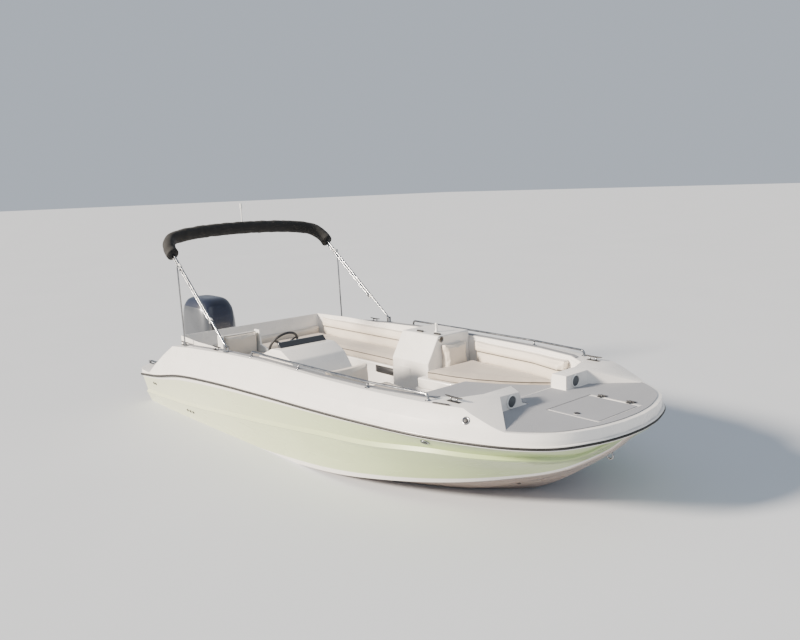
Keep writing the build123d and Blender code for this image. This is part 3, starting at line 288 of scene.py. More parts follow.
def ring(name, centre, axis, radius, thick, count, sides):
    """A ring: a small circle of half-thickness thick carried round a large one."""
    axis = unit(np.asarray(axis, float))
    small = full_turn(sides)
    out = spread(axis, np.append(full_turn(count), 2 * np.pi))
    grid = (np.asarray(centre, float) + (radius + thick * np.cos(small))[None, :, None] * out[:, None]
            + thick * np.sin(small)[None, :, None] * axis)
    return surface(name, grid, around=True)


def plate(name, outline, low, high):
    """A flat piece between two heights inside a plan outline."""
    line = np.asarray(outline, float)
    n = len(line)
    grid = np.stack([np.column_stack([line, np.full(n, low)]), np.column_stack([line, np.full(n, high)])])
    return surface(name, grid, around=True, capped=True)


def corners(mesh):
    """A mesh's points as an array."""
    points = np.empty(len(mesh.vertices) * 3, np.float32)
    mesh.vertices.foreach_get("co", points)
    return points.reshape(-1, 3).astype(float)


def normals(mesh):
    """A mesh's point normals as an array."""
    out = np.empty(len(mesh.vertices) * 3, np.float32)
    mesh.vertices.foreach_get("normal", out)
    return out.reshape(-1, 3)


def moved(mesh, points):
    """Puts an array of points back into a mesh."""
    mesh.vertices.foreach_set("co", np.asarray(points, np.float32).ravel())
    mesh.update()


def ray_tree(mesh):
    """A tree of a mesh's faces, to find where a line meets them."""
    return BVHTree.FromPolygons([v.co[:] for v in mesh.vertices], [p.vertices[:] for p in mesh.polygons])


# Filling and piping of cushions

CLOTH_FRAMES = 20
CLOTH_PRESSURE = 4
CLOTH_QUALITY = 4
SOFT_EDGE = 0.02
DRAWN_IN = 0.008
PIPING_RADIUS = 0.0055
PIPING_SIDES = 6
SHORTEST_CUT = 24


def baked(thing):
    """A piece whose modifiers are worked into its mesh."""
    view = bpy.context.evaluated_depsgraph_get()
    mesh = bpy.data.meshes.new_from_object(thing.evaluated_get(view))
    thing.modifiers.clear()
    thing.data = mesh


def stuffed(thing, voxel, swell, floor):
    """Fills a soft piece: its form is drawn in, remeshed evenly and blown up as cloth, and no
    point moves further than the swell.  Under the floor height it lies flat."""
    edge = thing.modifiers.new("soft edges", "BEVEL")
    edge.width, edge.segments, edge.limit_method = SOFT_EDGE, 3, "ANGLE"
    edge.angle_limit = np.radians(40)
    even = thing.modifiers.new("even cloth", "REMESH")
    even.mode, even.voxel_size = "VOXEL", voxel
    baked(thing)
    start = corners(thing.data) - DRAWN_IN * normals(thing.data)
    moved(thing.data, start)
    cloth = thing.modifiers.new("filling", "CLOTH")
    cloth.settings.use_pressure = True
    cloth.settings.uniform_pressure_force = CLOTH_PRESSURE
    cloth.settings.effector_weights.gravity = 0
    cloth.settings.quality = CLOTH_QUALITY
    cloth.point_cache.frame_start, cloth.point_cache.frame_end = 1, CLOTH_FRAMES
    for step in range(1, CLOTH_FRAMES + 1):
        bpy.context.scene.frame_set(step)
    baked(thing)
    bpy.context.scene.frame_set(1)
    reach = corners(thing.data) - start
    length = np.linalg.norm(reach, axis=1, keepdims=True)
    start = start + reach * np.minimum(1, swell / np.maximum(length, NO_LENGTH))
    start[:, 2] = np.maximum(start[:, 2], floor)
    moved(thing.data, start)
    thing.data.shade_smooth()
    finer = thing.modifiers.new("fine", "SUBSURF")
    finer.levels = finer.render_levels = 1
    return thing


def cut_lines(thing, place, facing):
    """Closed lines where a plane cuts a piece, each as points in order."""
    work = bmesh.new()
    work.from_mesh(thing.data)
    cut = bmesh.ops.bisect_plane(work, geom=work.verts[:] + work.edges[:] + work.faces[:],
                                 plane_co=place, plane_no=facing)["geom_cut"]
    left = dict.fromkeys(e for e in cut if isinstance(e, bmesh.types.BMEdge))
    lines = []
    while left:
        ahead = next(iter(left))
        del left[ahead]
        line = [ahead.verts[0], ahead.verts[1]]
        while ahead is not None:
            ahead = next((e for e in line[-1].link_edges if e in left), None)
            if ahead is not None:
                del left[ahead]
                line.append(ahead.other_vert(line[-1]))
        if line[-1] is line[0] and len(line) > SHORTEST_CUT:
            lines.append(np.array([v.co[:] for v in line[:-1]]))
    work.free()
    return lines


def piped(name, thing, cuts):
    """Piping sewn round a cushion: a small circle carried along each line where a plane cuts it."""
    cords = []
    for place, facing in cuts:
        for line in cut_lines(thing, place, facing):
            path = through(line[::3], max(SHORTEST_CUT, len(line) // 2), closed=True)
            path = np.vstack([path, path[:1]])
            cords.append(surface(name, swept(circle(PIPING_RADIUS, PIPING_SIDES), path), around=True,
                                 capped=True))
    return joined(name, cords)


# Materials

def fresh(name, **sockets):
    """A new material: its tree, its shader, and the sockets that are the same all over."""
    stuff = bpy.data.materials.new(name)
    stuff.use_nodes = True
    tree = stuff.node_tree
    shader = tree.nodes["Principled BSDF"]
    for socket, value in sockets.items():
        shader.inputs[socket.replace("_", " ")].default_value = value
    return stuff, tree, shader


def node(tree, kind, links, **settings):
    """One shader node, with its settings and what is linked to its sockets."""
    new = tree.nodes.new(kind)
    for name, value in settings.items():
        setattr(new, name, value)
    for socket, source in links.items():
        if isinstance(source, bpy.types.NodeSocket):
            tree.links.new(source, new.inputs[socket])
        else:
            new.inputs[socket].default_value = source
    return new


def places(tree, scale=(1, 1, 1), turn=(0, 0, 0), kind="Object"):
    """The piece's own coordinates, scaled and turned."""
    source = node(tree, "ShaderNodeTexCoord", {}).outputs[kind]
    return node(tree, "ShaderNodeMapping", {"Vector": source, "Scale": scale, "Rotation": turn}
                ).outputs["Vector"]


def noise(tree, place, scale, detail=2.0):
    """A noise of one scale."""
    return node(tree, "ShaderNodeTexNoise", {"Vector": place, "Scale": scale, "Detail": detail}
                ).outputs["Fac"]


def spanned(tree, source, low, high, start=0.0, end=1.0):
    """A value carried from one range to another."""
    return node(tree, "ShaderNodeMapRange", {"Value": source, "From Min": start, "From Max": end,
                                             "To Min": low, "To Max": high}).outputs["Result"]


def ramp(tree, source, stops):
    """A colour ramp over (place, colour) stops."""
    new = node(tree, "ShaderNodeValToRGB", {"Fac": source})
    for k, (place, colour) in enumerate(stops):
        stop = new.color_ramp.elements[k] if k < 2 else new.color_ramp.elements.new(place)
        stop.position, stop.color = place, (*colour[:3], 1)
    return new.outputs["Color"]


def mixed(tree, share, one, other, blend="MIX"):
    """Two colours mixed by a share."""
    return node(tree, "ShaderNodeMix", {"Factor": share, "A": one, "B": other}, data_type="RGBA",
                blend_type=blend).outputs["Result"]


def shade(colour, amount):
    """A colour made lighter or darker."""
    return tuple(min(1, c * amount) for c in colour[:3])


def painted(tree, shader, tint, gloss):
    """A colour and a roughness linked to the shader."""
    tree.links.new(tint, shader.inputs["Base Color"])
    tree.links.new(gloss, shader.inputs["Roughness"])


def bumped(tree, shader, height, strength, distance=0.001, after=None):
    """A height linked to the shader's normal."""
    links = {"Height": height, "Strength": strength, "Distance": distance}
    if after is not None:
        links["Normal"] = after
    bump = node(tree, "ShaderNodeBump", links)
    tree.links.new(bump.outputs["Normal"], shader.inputs["Normal"])
    return bump.outputs["Normal"]


def mottled(name, colour, wander, scale, grain, depth, gloss, **sockets):
    """A finish whose shade and gloss wander a little with a slow noise over a fine grain."""
    stuff, tree, shader = fresh(name, **sockets)
    place = places(tree)
    slow = noise(tree, place, scale, 4.0)
    tint = ramp(tree, slow, [(0.3, shade(colour, 1 - wander)), (0.7, shade(colour, 1 + wander))])
    painted(tree, shader, tint, spanned(tree, slow, *gloss, 0.3, 0.7))
    bumped(tree, shader, noise(tree, place, grain, 3.0), depth)
    return stuff


# Places of the hull's colours over the height of a section: 0 is the keel and 1 the rail.
BOTTOM_TOP, CHINE_FOOT, SIDE_FOOT, SIDE_FULL, SIDE_TOP, RAIL_FOOT = 0.345, 0.352, 0.39, 0.396, 0.955, 0.96


def hull_finish(green, pale, bottom, white):
    """Hull gelcoat: bands over the height of each section, read from the piece's own map; the sides run from
    pale at the stern to green at the bow, partly the gelcoat's tone and partly painted sunlight on the stern
    and painted shade on the bow.
    """
    stuff, tree, shader = fresh("hull gelcoat", Coat_Weight=0.6, Coat_Roughness=0.06)
    own_map = node(tree, "ShaderNodeTexCoord", {}).outputs["UV"]
    across = node(tree, "ShaderNodeSeparateXYZ", {"Vector": own_map})
    low = ramp(tree, across.outputs["Y"], [(0.0, shade(bottom, 0.94)), (BOTTOM_TOP, bottom),
                                           (CHINE_FOOT, white)])
    # Pale at the stern, green at the bow: partly the gelcoat's tone, partly painted sunlight on the stern
    # and painted shade on the bow.
    side = ramp(tree, across.outputs["X"], [(0.15, pale), (0.85, green)])
    share = ramp(tree, across.outputs["Y"], [(SIDE_FOOT, (0, 0, 0)), (SIDE_FULL, (1, 1, 1)),
                                             (SIDE_TOP, (1, 1, 1)), (RAIL_FOOT, (0, 0, 0))])
    slow = noise(tree, places(tree, (0.6, 0.6, 2.5)), 2.2)
    wash = ramp(tree, slow, [(0.3, (0.94, 0.94, 0.93)), (0.7, (1, 1, 1))])
    tint = mixed(tree, 1.0, mixed(tree, share, low, side), wash, "MULTIPLY")
    painted(tree, shader, tint, spanned(tree, slow, 0.2, 0.34))
    bumped(tree, shader, noise(tree, places(tree), 6.0, 1.0), 0.04, 0.004)
    return stuff


def mat_finish(colour, pitch):
    """Grey non-skid mat: rows of small diamonds over a fine foam grain, with painted shade in the grooves
    between the diamonds.
    """
    stuff, tree, shader = fresh("deck mat")
    place = places(tree, turn=(0, 0, np.radians(45)))
    cells = node(tree, "ShaderNodeTexVoronoi", {"Vector": place, "Scale": 1 / pitch, "Randomness": 0.0},
                 distance="CHEBYCHEV")
    fine = noise(tree, place, 700.0)
    slow = noise(tree, place, 3.0, 3.0)
    groove_and_painted_shade = spanned(tree, cells.outputs["Distance"], 1.0, 0.0, 0.36, 0.48)
    tint = ramp(tree, slow, [(0.3, shade(colour, 0.95)), (0.7, shade(colour, 1.04))])
    # The grooves get a darker colour: painted shade in the hollows between the diamonds.
    painted(tree, shader, mixed(tree, groove_and_painted_shade, (*shade(colour, 0.86), 1), tint),
            spanned(tree, fine, 0.72, 0.92))
    after = bumped(tree, shader, groove_and_painted_shade, 0.5, 0.0012)
    bumped(tree, shader, fine, 0.15, 0.0006, after)
    return stuff


def vinyl_finish(name, colour):
    """Upholstery vinyl: a fine leather grain with a soft sheen and slightly darker hollows."""
    stuff, tree, shader = fresh(name, Sheen_Weight=0.12, Sheen_Roughness=0.5, Coat_Weight=0.08)
    place = places(tree)
    cells = node(tree, "ShaderNodeTexVoronoi", {"Vector": place, "Scale": 420.0}, feature="SMOOTH_F1")
    slow = noise(tree, place, 5.0, 3.0)
    tint = ramp(tree, slow, [(0.28, shade(colour, 0.95)), (0.72, shade(colour, 1.03))])
    painted(tree, shader, tint, spanned(tree, slow, 0.42, 0.58))
    bumped(tree, shader, cells.outputs["Distance"], 0.25, 0.0006)
    return stuff


def canvas_finish(colour):
    """Woven canvas: over and under threads as two crossed waves on the piece's own map."""
    stuff, tree, shader = fresh("boot canvas", Sheen_Weight=0.06, Sheen_Roughness=0.6)
    place = places(tree, kind="UV")
    cross = node(tree, "ShaderNodeMath", {}, operation="MULTIPLY")
    for k, direction in enumerate("XY"):
        threads = node(tree, "ShaderNodeTexWave", {"Vector": place, "Scale": 260.0},
                       bands_direction=direction)
        tree.links.new(threads.outputs["Fac"], cross.inputs[k])
    slow = noise(tree, places(tree), 7.0, 4.0)
    tint = ramp(tree, slow, [(0.3, shade(colour, 0.7)), (0.7, shade(colour, 1.5))])
    painted(tree, shader, tint, spanned(tree, slow, 0.75, 0.95))
    bumped(tree, shader, cross.outputs["Value"], 0.3, 0.0006)
    return stuff


def steel_finish():
    """Polished stainless tube: a very fine brushing and a few dull patches."""
    stuff, tree, shader = fresh("polished stainless", Metallic=1.0)
    slow = noise(tree, places(tree), 14.0, 3.0)
    tint = ramp(tree, slow, [(0.3, (0.22, 0.23, 0.25)), (0.7, (0.36, 0.37, 0.38))])
    painted(tree, shader, tint, spanned(tree, slow, 0.12, 0.3))
    bumped(tree, shader, noise(tree, places(tree, (400, 400, 400)), 1.0), 0.02, 0.0003)
    return stuff


# Finish: material, colour, how far its shade wanders, scales of its slow and fine noise, depth of
# its grain, roughness from and to, and other sockets.  A colour that is a setting is given by the
# setting's group and name and a share of its brightness.
PLAIN = {
    "white": ("deck gelcoat", ("deck", "white", 1), 0.015, 5.0, 60.0, 0.01, (0.24, 0.34),
              {"Coat_Weight": 0.4, "Coat_Roughness": 0.08}),
    "black": ("black moulded plastic", (0.02, 0.02, 0.022), 0.2, 12.0, 500.0, 0.12, (0.38, 0.55), {}),
    "rubber": ("rub rail rubber", (0.012, 0.011, 0.010), 0.15, 6.0, 300.0, 0.1, (0.45, 0.62), {}),
    "plastic": ("white moulded plastic", (0.78, 0.78, 0.76), 0.02, 8.0, 300.0, 0.05, (0.35, 0.45), {}),
    "navy": ("motor navy paint", ("motor", "navy", 1), 0.1, 6.0, 900.0, 0.03, (0.3, 0.4),
             {"Coat_Weight": 0.35, "Coat_Roughness": 0.12}),
    "silver": ("motor silver paint", ("motor", "silver", 1), 0.08, 4.0, 900.0, 0.03, (0.26, 0.36),
               {"Metallic": 0.75, "Coat_Weight": 0.2, "Coat_Roughness": 0.12}),
    "screen": ("dark acrylic", (0.012, 0.013, 0.016), 0.2, 4.0, 30.0, 0.01, (0.06, 0.12),
               {"Coat_Weight": 0.8, "Coat_Roughness": 0.04}),
    "graphite": ("motor graphite plastic", (0.045, 0.048, 0.055), 0.15, 6.0, 500.0, 0.06, (0.38, 0.5), {}),
    "grip": ("gunwale grip foam", ("deck", "mat", 0.72), 0.06, 5.0, 500.0, 0.25, (0.75, 0.9), {}),
    "piping": ("seat piping", ("seats", "tan", 0.16), 0.08, 9.0, 400.0, 0.1, (0.45, 0.6), {}),
    "grille": ("speaker grille", (0.10, 0.11, 0.12), 0.15, 9.0, 900.0, 0.5, (0.4, 0.6), {"Metallic": 0.4}),
    "red": ("port light lens", (0.35, 0.02, 0.02), 0.1, 9.0, 90.0, 0.02, (0.08, 0.14),
            {"Coat_Weight": 0.6}),
    "green": ("starboard light lens", (0.02, 0.22, 0.08), 0.1, 9.0, 90.0, 0.02, (0.08, 0.14),
              {"Coat_Weight": 0.6}),
}
FINISHES = {}


def finish(name):
    """One of the boat's finishes.  All are made at the first use, from the colours in the settings."""
    if not FINISHES:
        scene = bpy.context.scene
        hull, deck, seats = scene.boat_hull, scene.boat_deck, scene.boat_seats
        FINISHES["hull"] = hull_finish(tuple(hull.topsides), tuple(hull.quarter), tuple(hull.bottom),
                                       tuple(deck.white))
        FINISHES["mat"] = mat_finish(tuple(deck.mat), deck.mat_pitch)
        FINISHES["ivory"] = vinyl_finish("ivory vinyl", tuple(seats.ivory))
        FINISHES["tan"] = vinyl_finish("sand vinyl", tuple(seats.tan))
        FINISHES["canvas"] = canvas_finish(tuple(scene.boat_top.canvas))
        FINISHES["steel"] = steel_finish()
        for key, (material, colour, *numbers, sockets) in PLAIN.items():
            if isinstance(colour[0], str):
                group, setting, share = colour
                colour = shade(tuple(getattr(getattr(scene, f"boat_{group}"), setting)), share)
            FINISHES[key] = mottled(material, colour, *numbers, **sockets)
    return FINISHES[name]


# Hull

LENGTH = (-3.120, 3.160)
KEEL_UNIT, CHINE_UNIT, HALF_BEAM, RAIL_LEVEL = 0.42, 1.1, 1.29, 0.7
# Share of the length, keel depth / KEEL_UNIT, chine half / CHINE_UNIT, chine z, style line half /
# HALF_BEAM, style line z, ledge, rail half / HALF_BEAM, rail z above RAIL_LEVEL.
SECTIONS = np.array([
    (0.000, -1.00, 0.985, -0.110, 0.912, 0.130, 0.026, 0.940, -0.330),
    (0.085, -1.00, 0.995, -0.108, 0.930, 0.160, 0.030, 0.966, -0.264),
    (0.195, -1.00, 1.000, -0.096, 0.944, 0.198, 0.034, 0.988, -0.145),
    (0.330, -1.00, 1.000, -0.070, 0.955, 0.274, 0.036, 1.000, -0.074),
    (0.480, -0.98, 1.000, -0.024, 0.962, 0.362, 0.036, 1.000, -0.032),
    (0.620, -0.88, 0.985, 0.052, 0.962, 0.453, 0.036, 1.000, -0.001),
    (0.725, -0.625, 0.890, 0.138, 0.922, 0.500, 0.034, 0.978, 0.018),
    (0.810, -0.257, 0.720, 0.213, 0.837, 0.550, 0.032, 0.925, 0.025),
    (0.880, 0.257, 0.527, 0.303, 0.720, 0.565, 0.028, 0.828, 0.026),
    (0.935, 0.81, 0.320, 0.400, 0.566, 0.582, 0.024, 0.706, 0.026),
    (0.972, 1.24, 0.110, 0.545, 0.388, 0.604, 0.017, 0.545, 0.026),
    (0.993, 1.57, 0.036, 0.672, 0.155, 0.688, 0.009, 0.302, 0.026),
    (1.000, 1.67, 0.020, 0.706, 0.060, 0.712, 0.004, 0.110, 0.026),
])
STEM = (LENGTH[1] + 0.005, 0.712, 0.0, 0.716, 0.0, 0.719, 0.002, 0.0, 0.726)
WIDTHS = [2, 4, 7]
CHINE_FLAT = 0.92
STRAKE = (0.46, 0.50)
HULL_ROWS = 150
TRANSOM_BAND = 0.8


def section_table():
    """The sections in real sizes, with a last one of no width on the stem."""
    x = LENGTH[0] + SECTIONS[:, 0] * (LENGTH[1] - LENGTH[0])
    real = np.column_stack([x, SECTIONS[:, 1] * KEEL_UNIT, SECTIONS[:, 2] * CHINE_UNIT, SECTIONS[:, 3],
                            SECTIONS[:, 4] * HALF_BEAM, SECTIONS[:, 5], SECTIONS[:, 6],
                            SECTIONS[:, 7] * HALF_BEAM, RAIL_LEVEL + SECTIONS[:, 8]])
    return np.vstack([real, STEM])


def faired(count):
    """Sections at even steps along the rail seen in plan, on cubics that are level at the stem."""
    rows = section_table()
    ghost = rows[-2].copy()
    ghost[WIDTHS] *= -1
    table = np.vstack([rows, ghost])
    knots = running(table[:, [0, 7]])
    fair = hermite(knots, table, np.linspace(0, knots[-2], count))
    fair[-1, WIDTHS] = 0
    return fair


def between(a, b, count):
    """count steps from a towards b, without b."""
    t = (np.arange(count) / count)[None, :, None]
    return a[:, None] * (1 - t) + b[:, None] * t


def hull_grid():
    """Hull surface: at each section the keel, strake, chine, style line and rail are corners of
    a line that is carried along the boat, port rail to starboard rail."""
    x, keel, chine_y, chine_z, style_y, style_z, ledge, rail_y, rail_z = faired(HULL_ROWS).T
    inner_y, inner_z = CHINE_FLAT * chine_y, chine_z - 0.012
    rise = (inner_z - keel) / CHINE_FLAT
    strake_z = keel + STRAKE[0] * rise
    flare = 0.5 * (chine_y + style_y) - 0.006

    def at(y, z):
        return np.stack([y, z], axis=1)

    # Corner, its place over the section's height in the hull's map, and steps to the next corner.
    knees = [(at(0 * keel, keel), 0.0, 8), (at(STRAKE[0] * chine_y, strake_z), 0.14, 1),
             (at(STRAKE[1] * chine_y, strake_z + 0.001), 0.16, 6),
             (at(inner_y, inner_z), 0.32, 1), (at(chine_y, chine_z), 0.35, 6),
             (at(flare, 0.5 * (chine_z + style_z)), 0.53, 6),
             (at(style_y - 0.008 * style_y, style_z - 0.012), 0.70, 1),
             (at(style_y + 0.004, style_z), 0.72, 2),
             (at(0.985 * style_y, style_z + ledge), 0.76, 7), (at(rail_y, rail_z), 1.0, 0)]
    line, band = [], []
    for (a, va, steps), (b, vb, _) in zip(knees, knees[1:]):
        line.append(between(a, b, steps))
        band.append(va + (vb - va) * np.arange(steps) / steps)
    line.append(knees[-1][0][:, None])
    band.append([1.0])
    half, band = np.concatenate(line, axis=1), np.concatenate(band)
    whole = np.concatenate([half[:, :0:-1] * [-1, 1], half], axis=1)
    grid = np.concatenate([np.broadcast_to(x[:, None, None], whole.shape[:2] + (1,)), whole], axis=2)
    run = np.broadcast_to(np.linspace(0, 1, len(x))[:, None], whole.shape[:2])
    both = np.broadcast_to(np.concatenate([band[:0:-1], band])[None], whole.shape[:2])
    return grid, np.stack([run, both], axis=-1)


class BOAT_OT_hull(bpy.types.Operator):
    """Hull with its chines, style line and coloured bands"""
    bl_idname = "boat.hull"
    bl_label = "Hull"

    def execute(self, context):
        grid, uv = hull_grid()
        columns = grid.shape[1]
        sides = surface("sides", grid, uv=uv)
        transom = made("transom", grid[0], [list(range(columns))],
                       uv=np.tile([0.0, TRANSOM_BAND], (columns, 1)))
        hull = joined("hull_shell", [sides, transom])
        mended(hull.data)
        hull.data.set_sharp_from_angle(angle=np.radians(24))
        wall = hull.modifiers.new("laminate", "SOLIDIFY")
        wall.thickness, wall.offset = context.scene.boat_hull.laminate, -1
        dress(hull, "boat", "gelcoat_green", finish("hull"), "hull")
        return {"FINISHED"}


# Out from the rail and up from it; the strip's heights are shares of its own half-height.
RAIL_LIP = np.array([(-0.004, -0.019), (0.010, -0.019), (0.014, -0.015), (0.014, 0.015), (0.010, 0.019),
                     (-0.004, 0.019)])
RAIL_STRIP = np.array([(0.010, -1.0), (0.018, -1.0), (0.0215, -0.5), (0.0225, 0.0), (0.0215, 0.5),
                       (0.018, 1.0), (0.010, 1.0)])
STRIP_HALF = (0.0145, 0.0095)
RAIL_ROWS = 160


class BOAT_OT_rub_rail(bpy.types.Operator):
    """Rub rail round the hull and deck joint"""
    bl_idname = "boat.rub_rail"
    bl_label = "Rub rail"

    def execute(self, context):
        line = faired(RAIL_ROWS)[:, [0, 7, 8]]
        path = np.concatenate([line, line[-2::-1] * [1, -1, 1]])
        out = unit(np.cross(unit(np.gradient(path, axis=0)), (0, 0, 1)))
        out = np.where((out[:, 1:2] * path[:, 1:2] < 0), -out, out)
        out[len(line) - 1] = (1, 0, 0)
        tall = np.interp(path[:, 0], LENGTH, STRIP_HALF)
        for name, profile, height, slot, look, nodes in (
                ("rub_rail_lip", RAIL_LIP, np.ones(len(path)), "gelcoat_white", "white", ()),
                ("rub_rail_strip", RAIL_STRIP, tall, "rubber_black", "rubber", ("rub_rail",))):
            grid = (path[:, None] + profile[None, :, :1] * out[:, None]
                    + (height[:, None] * profile[None, :, 1])[..., None] * [0, 0, 1.0])
            rail = surface(name, grid, around=True, capped=True)
            rail.data.set_sharp_from_angle(angle=np.radians(50))
            dress(rail, "boat", slot, finish(look), *nodes)
        return {"FINISHED"}


# Canopy frame and its boot.  Heights along the frame are from its hinge pins.

SLOPE = np.radians(38.3)
PIVOT = np.array([-1.0, 1.13, 0.987])
FRAME_UP = np.array([-np.cos(SLOPE), 0, np.sin(SLOPE)])
FRAME_DOWN = np.array([-np.sin(SLOPE), 0, -np.cos(SLOPE)])
FRAME_TUBE = 0.0125
LEAN, LEG = 0.042, 1.72
SHOULDER = [(1.02, 1.752), (0.88, 1.815), (0.62, 1.862), (0.32, 1.884)]
CROWN = 1.892
SECOND_BOW = (0.43, 0.036)
BOOT_FROM, BOOT_BELOW, BOOT_ROWS, BOOT_SIDES = 1.5, 0.010, 240, 48
BOOT_TALL = 1.18
BOOT_TIE, BOOT_TIE_RUN = 0.42, 0.012
BOOT_CLOTH = (2.6, 0.36)
WRINKLES, WRINKLE_DEPTH = 26, 0.05


def bow_line(start, below, count=120):
    """A bow of the frame: straight legs that lean in, rounded shoulders and a flat crown."""
    def leg(along):
        return PIVOT[1] - LEAN * along / LEG, along

    half = [leg(start), leg(0.5 * (start + 1.55)), leg(1.5), leg(1.62), *SHOULDER]
    flat = np.array(half + [(0.0, CROWN)] + [(-y, a) for y, a in reversed(half)])
    base = np.array([PIVOT[0], 0, PIVOT[2]]) + below * FRAME_DOWN
    points = base + flat[:, :1] * [0, 1, 0] + flat[:, 1:] * FRAME_UP
    return through(points, count)


class BOAT_OT_top(bpy.types.Operator):
    """Folding canopy frame and the boot that holds the rolled canopy"""
    bl_idname = "boat.top"
    bl_label = "Canopy frame"

    def execute(self, context):
        for name, start, below in (("main_bow", 0.0, 0.0), ("second_bow", *SECOND_BOW)):
            bow = tube(f"{name}_tube", bow_line(start, below), FRAME_TUBE)
            dress(bow, "bimini", "stainless", finish("steel"), name)
        self.boot(context.scene.boat_top.boot_radius)
        return {"FINISHED"}

    def boot(self, radius):
        """Boot: an upright oval carried along the bow, its size wandering with a sum of waves along
        and round it, and drawn in at both ends."""
        path = bow_line(BOOT_FROM, BOOT_BELOW, BOOT_ROWS)
        run = np.linspace(0, 1, len(path))
        turn = full_turn(BOOT_SIDES)
        rng = np.random.default_rng(7)
        wrinkle = np.zeros((len(path), len(turn)))
        for _ in range(WRINKLES):
            rate, spin, phase = rng.uniform(30, 150), rng.integers(-3, 4), rng.uniform(0, 2 * np.pi)
            height = rng.uniform(0.2, 1.0) / rate * 10
            wrinkle += height * np.sin(rate * run[:, None] * 2 + spin * turn + phase)
        close = 1 - BOOT_TIE * np.exp(-((run * (1 - run)) / BOOT_TIE_RUN) ** 2)
        size = (radius * close)[:, None] * (1 + WRINKLE_DEPTH * wrinkle)
        side, top = frames(path, tuple(-FRAME_DOWN))
        grid = path[:, None] + size[..., None] * (np.cos(turn)[None, :, None] * side[:, None]
                                                  + BOOT_TALL * np.sin(turn)[None, :, None] * top[:, None])
        uv = np.stack(np.broadcast_arrays(run[:, None] * BOOT_CLOTH[0],
                                          turn[None] / (2 * np.pi) * BOOT_CLOTH[1]), axis=-1)
        boot = surface("canopy_boot", grid, around=True, capped=True, uv=uv)
        dress(boot, "bimini", "canvas_black", finish("canvas"), "boot")


# Mouldings that keep the shape of their CAD nodes, with rounded edges

GUNWALE = np.array([(-3.13, 0.425), (-2.87, 0.425), (-2.2, 0.845), (-1.8, 0.883), (-1.0, 0.933),
                    (-0.3, 0.955), (2.33, 0.955), (2.68, 0.83), (3.17, 0.83)])
GUNWALE_SHARE = 0.90
FLANK_CREASE = 0.975
FLANK_SHARE, FLANK_TOP = 0.9, 0.96
ON_LINE = 0.002

# Node, body, slot, finish, width of its rounded edges, angle over which an edge is rounded.
MOULDED = [
    ("deck", "boat", "gelcoat_white", "white", 0.011, 26),
    ("cockpit_liner", "boat", "gelcoat_white", "white", 0.004, 30),
    ("helm_console", "boat", "gelcoat_white", "white", 0.012, 34),
    ("port_console", "boat", "gelcoat_white", "white", 0.014, 34),
    ("lounge_base", "boat", "gelcoat_white", "white", 0.010, 34),
    ("bow_step", "boat", "gelcoat_white", "white", 0.010, 34),
    ("bow_seats", "boat", "gelcoat_white", "white", 0.012, 34),
    ("cockpit_mat", "boat", "mat_grey", "mat", 0.003, 34),
    ("platform_mats", "boat", "mat_grey", "mat", 0.002, 34),
    ("gunwale_grips", "boat", "mat_grey", "grip", 0.0015, 40),
    ("hatch_hinges", "boat", "stainless", "black", 0.0008, 40),
    ("helm_shell", "helm_chair", "plastic_black", "plastic", 0.007, 34),
    ("helm_pedestal", "boat", "stainless", "steel", 0.003, 40),
    ("steering_column", "boat", "plastic_black", "black", 0.003, 40),
    ("instrument_panel", "boat", "screen_dark", "black", 0.0015, 40),
    ("windscreen", "boat", "screen_dark", "screen", 0.002, 40),
    ("frame_mounts", "boat", "stainless", "steel", 0.0012, 40),
    ("leg_clamps", "bimini", "stainless", "plastic", 0.0015, 40),
    ("strut_port", "port_strut", "stainless", "steel", 0.0008, 40),
    ("strut_starboard", "starboard_strut", "stainless", "steel", 0.0008, 40),
    ("ladder_mounts", "boat", "stainless", "steel", 0.0015, 40),
    ("swim_ladder", "ladder", "stainless", "steel", 0.0015, 40),
    ("clamp_bracket", "boat", "motor_navy", "graphite", 0.005, 34),
    ("swivel_bracket", "motor_mount", "motor_navy", "graphite", 0.006, 34),
    ("motor_leg", "motor", "motor_navy", "navy", 0.004, 40),
    ("propeller", "screw", "stainless", "steel", 0.0012, 50),
]

# The starboard speaker block: its inboard end, how far that end leans out at its foot and top, how
# far its top dips there, and the speaker's place from the CAD and from the photograph.
BLOCK_END = 0.27
BLOCK_LEAN = {0.83: -0.300, 0.955: -0.345}
BLOCK_DIP = 0.010
BLOCK_FROM, BLOCK_FOOT, BLOCK_TOP, BLOCK_NEAR = 2.22, 0.828, 0.95, 0.004
SPEAKER = (0.400, 0.892)
SPEAKER_OUT = (0.440, 0.886)
SEAT_RADIUS, SEAT_FROM = 0.052, 2.28

# Node: x and y of the shaft's upright axis, its radius.
SHAFTS = {"motor_leg": (-3.295, 0.0, 0.020), "helm_pedestal": (-1.420, -0.640, 0.018)}
SHAFT_PLAY = 0.0006
ON_SHAFT = 0.0002


def rail_at(x):
    """Half-breadth and height of the rub rail at places along the boat."""
    fair = faired(400)
    return np.interp(x, fair[:, 0], fair[:, 7]), np.interp(x, fair[:, 0], fair[:, 8])


def gunwale_at(x):
    """Height of the gunwale's flat top."""
    return np.interp(x, GUNWALE[:, 0], GUNWALE[:, 1])


def crease_flank(mesh):
    """Marks the soft crease that runs along the flanks, half-way up them."""
    points = corners(mesh)
    half, height = rail_at(points[:, 0])
    top = np.maximum(height + FLANK_SHARE * (FLANK_TOP - height), gunwale_at(points[:, 0]))
    on_line = (np.abs(np.abs(points[:, 1]) - FLANK_CREASE * half) < ON_LINE) & (points[:, 2] < top)
    ends = np.empty(len(mesh.edges) * 2, np.int32)
    mesh.edges.foreach_get("vertices", ends)
    for k in np.flatnonzero(on_line[ends.reshape(-1, 2)].all(axis=1)):
        mesh.edges[int(k)].use_edge_sharp = True


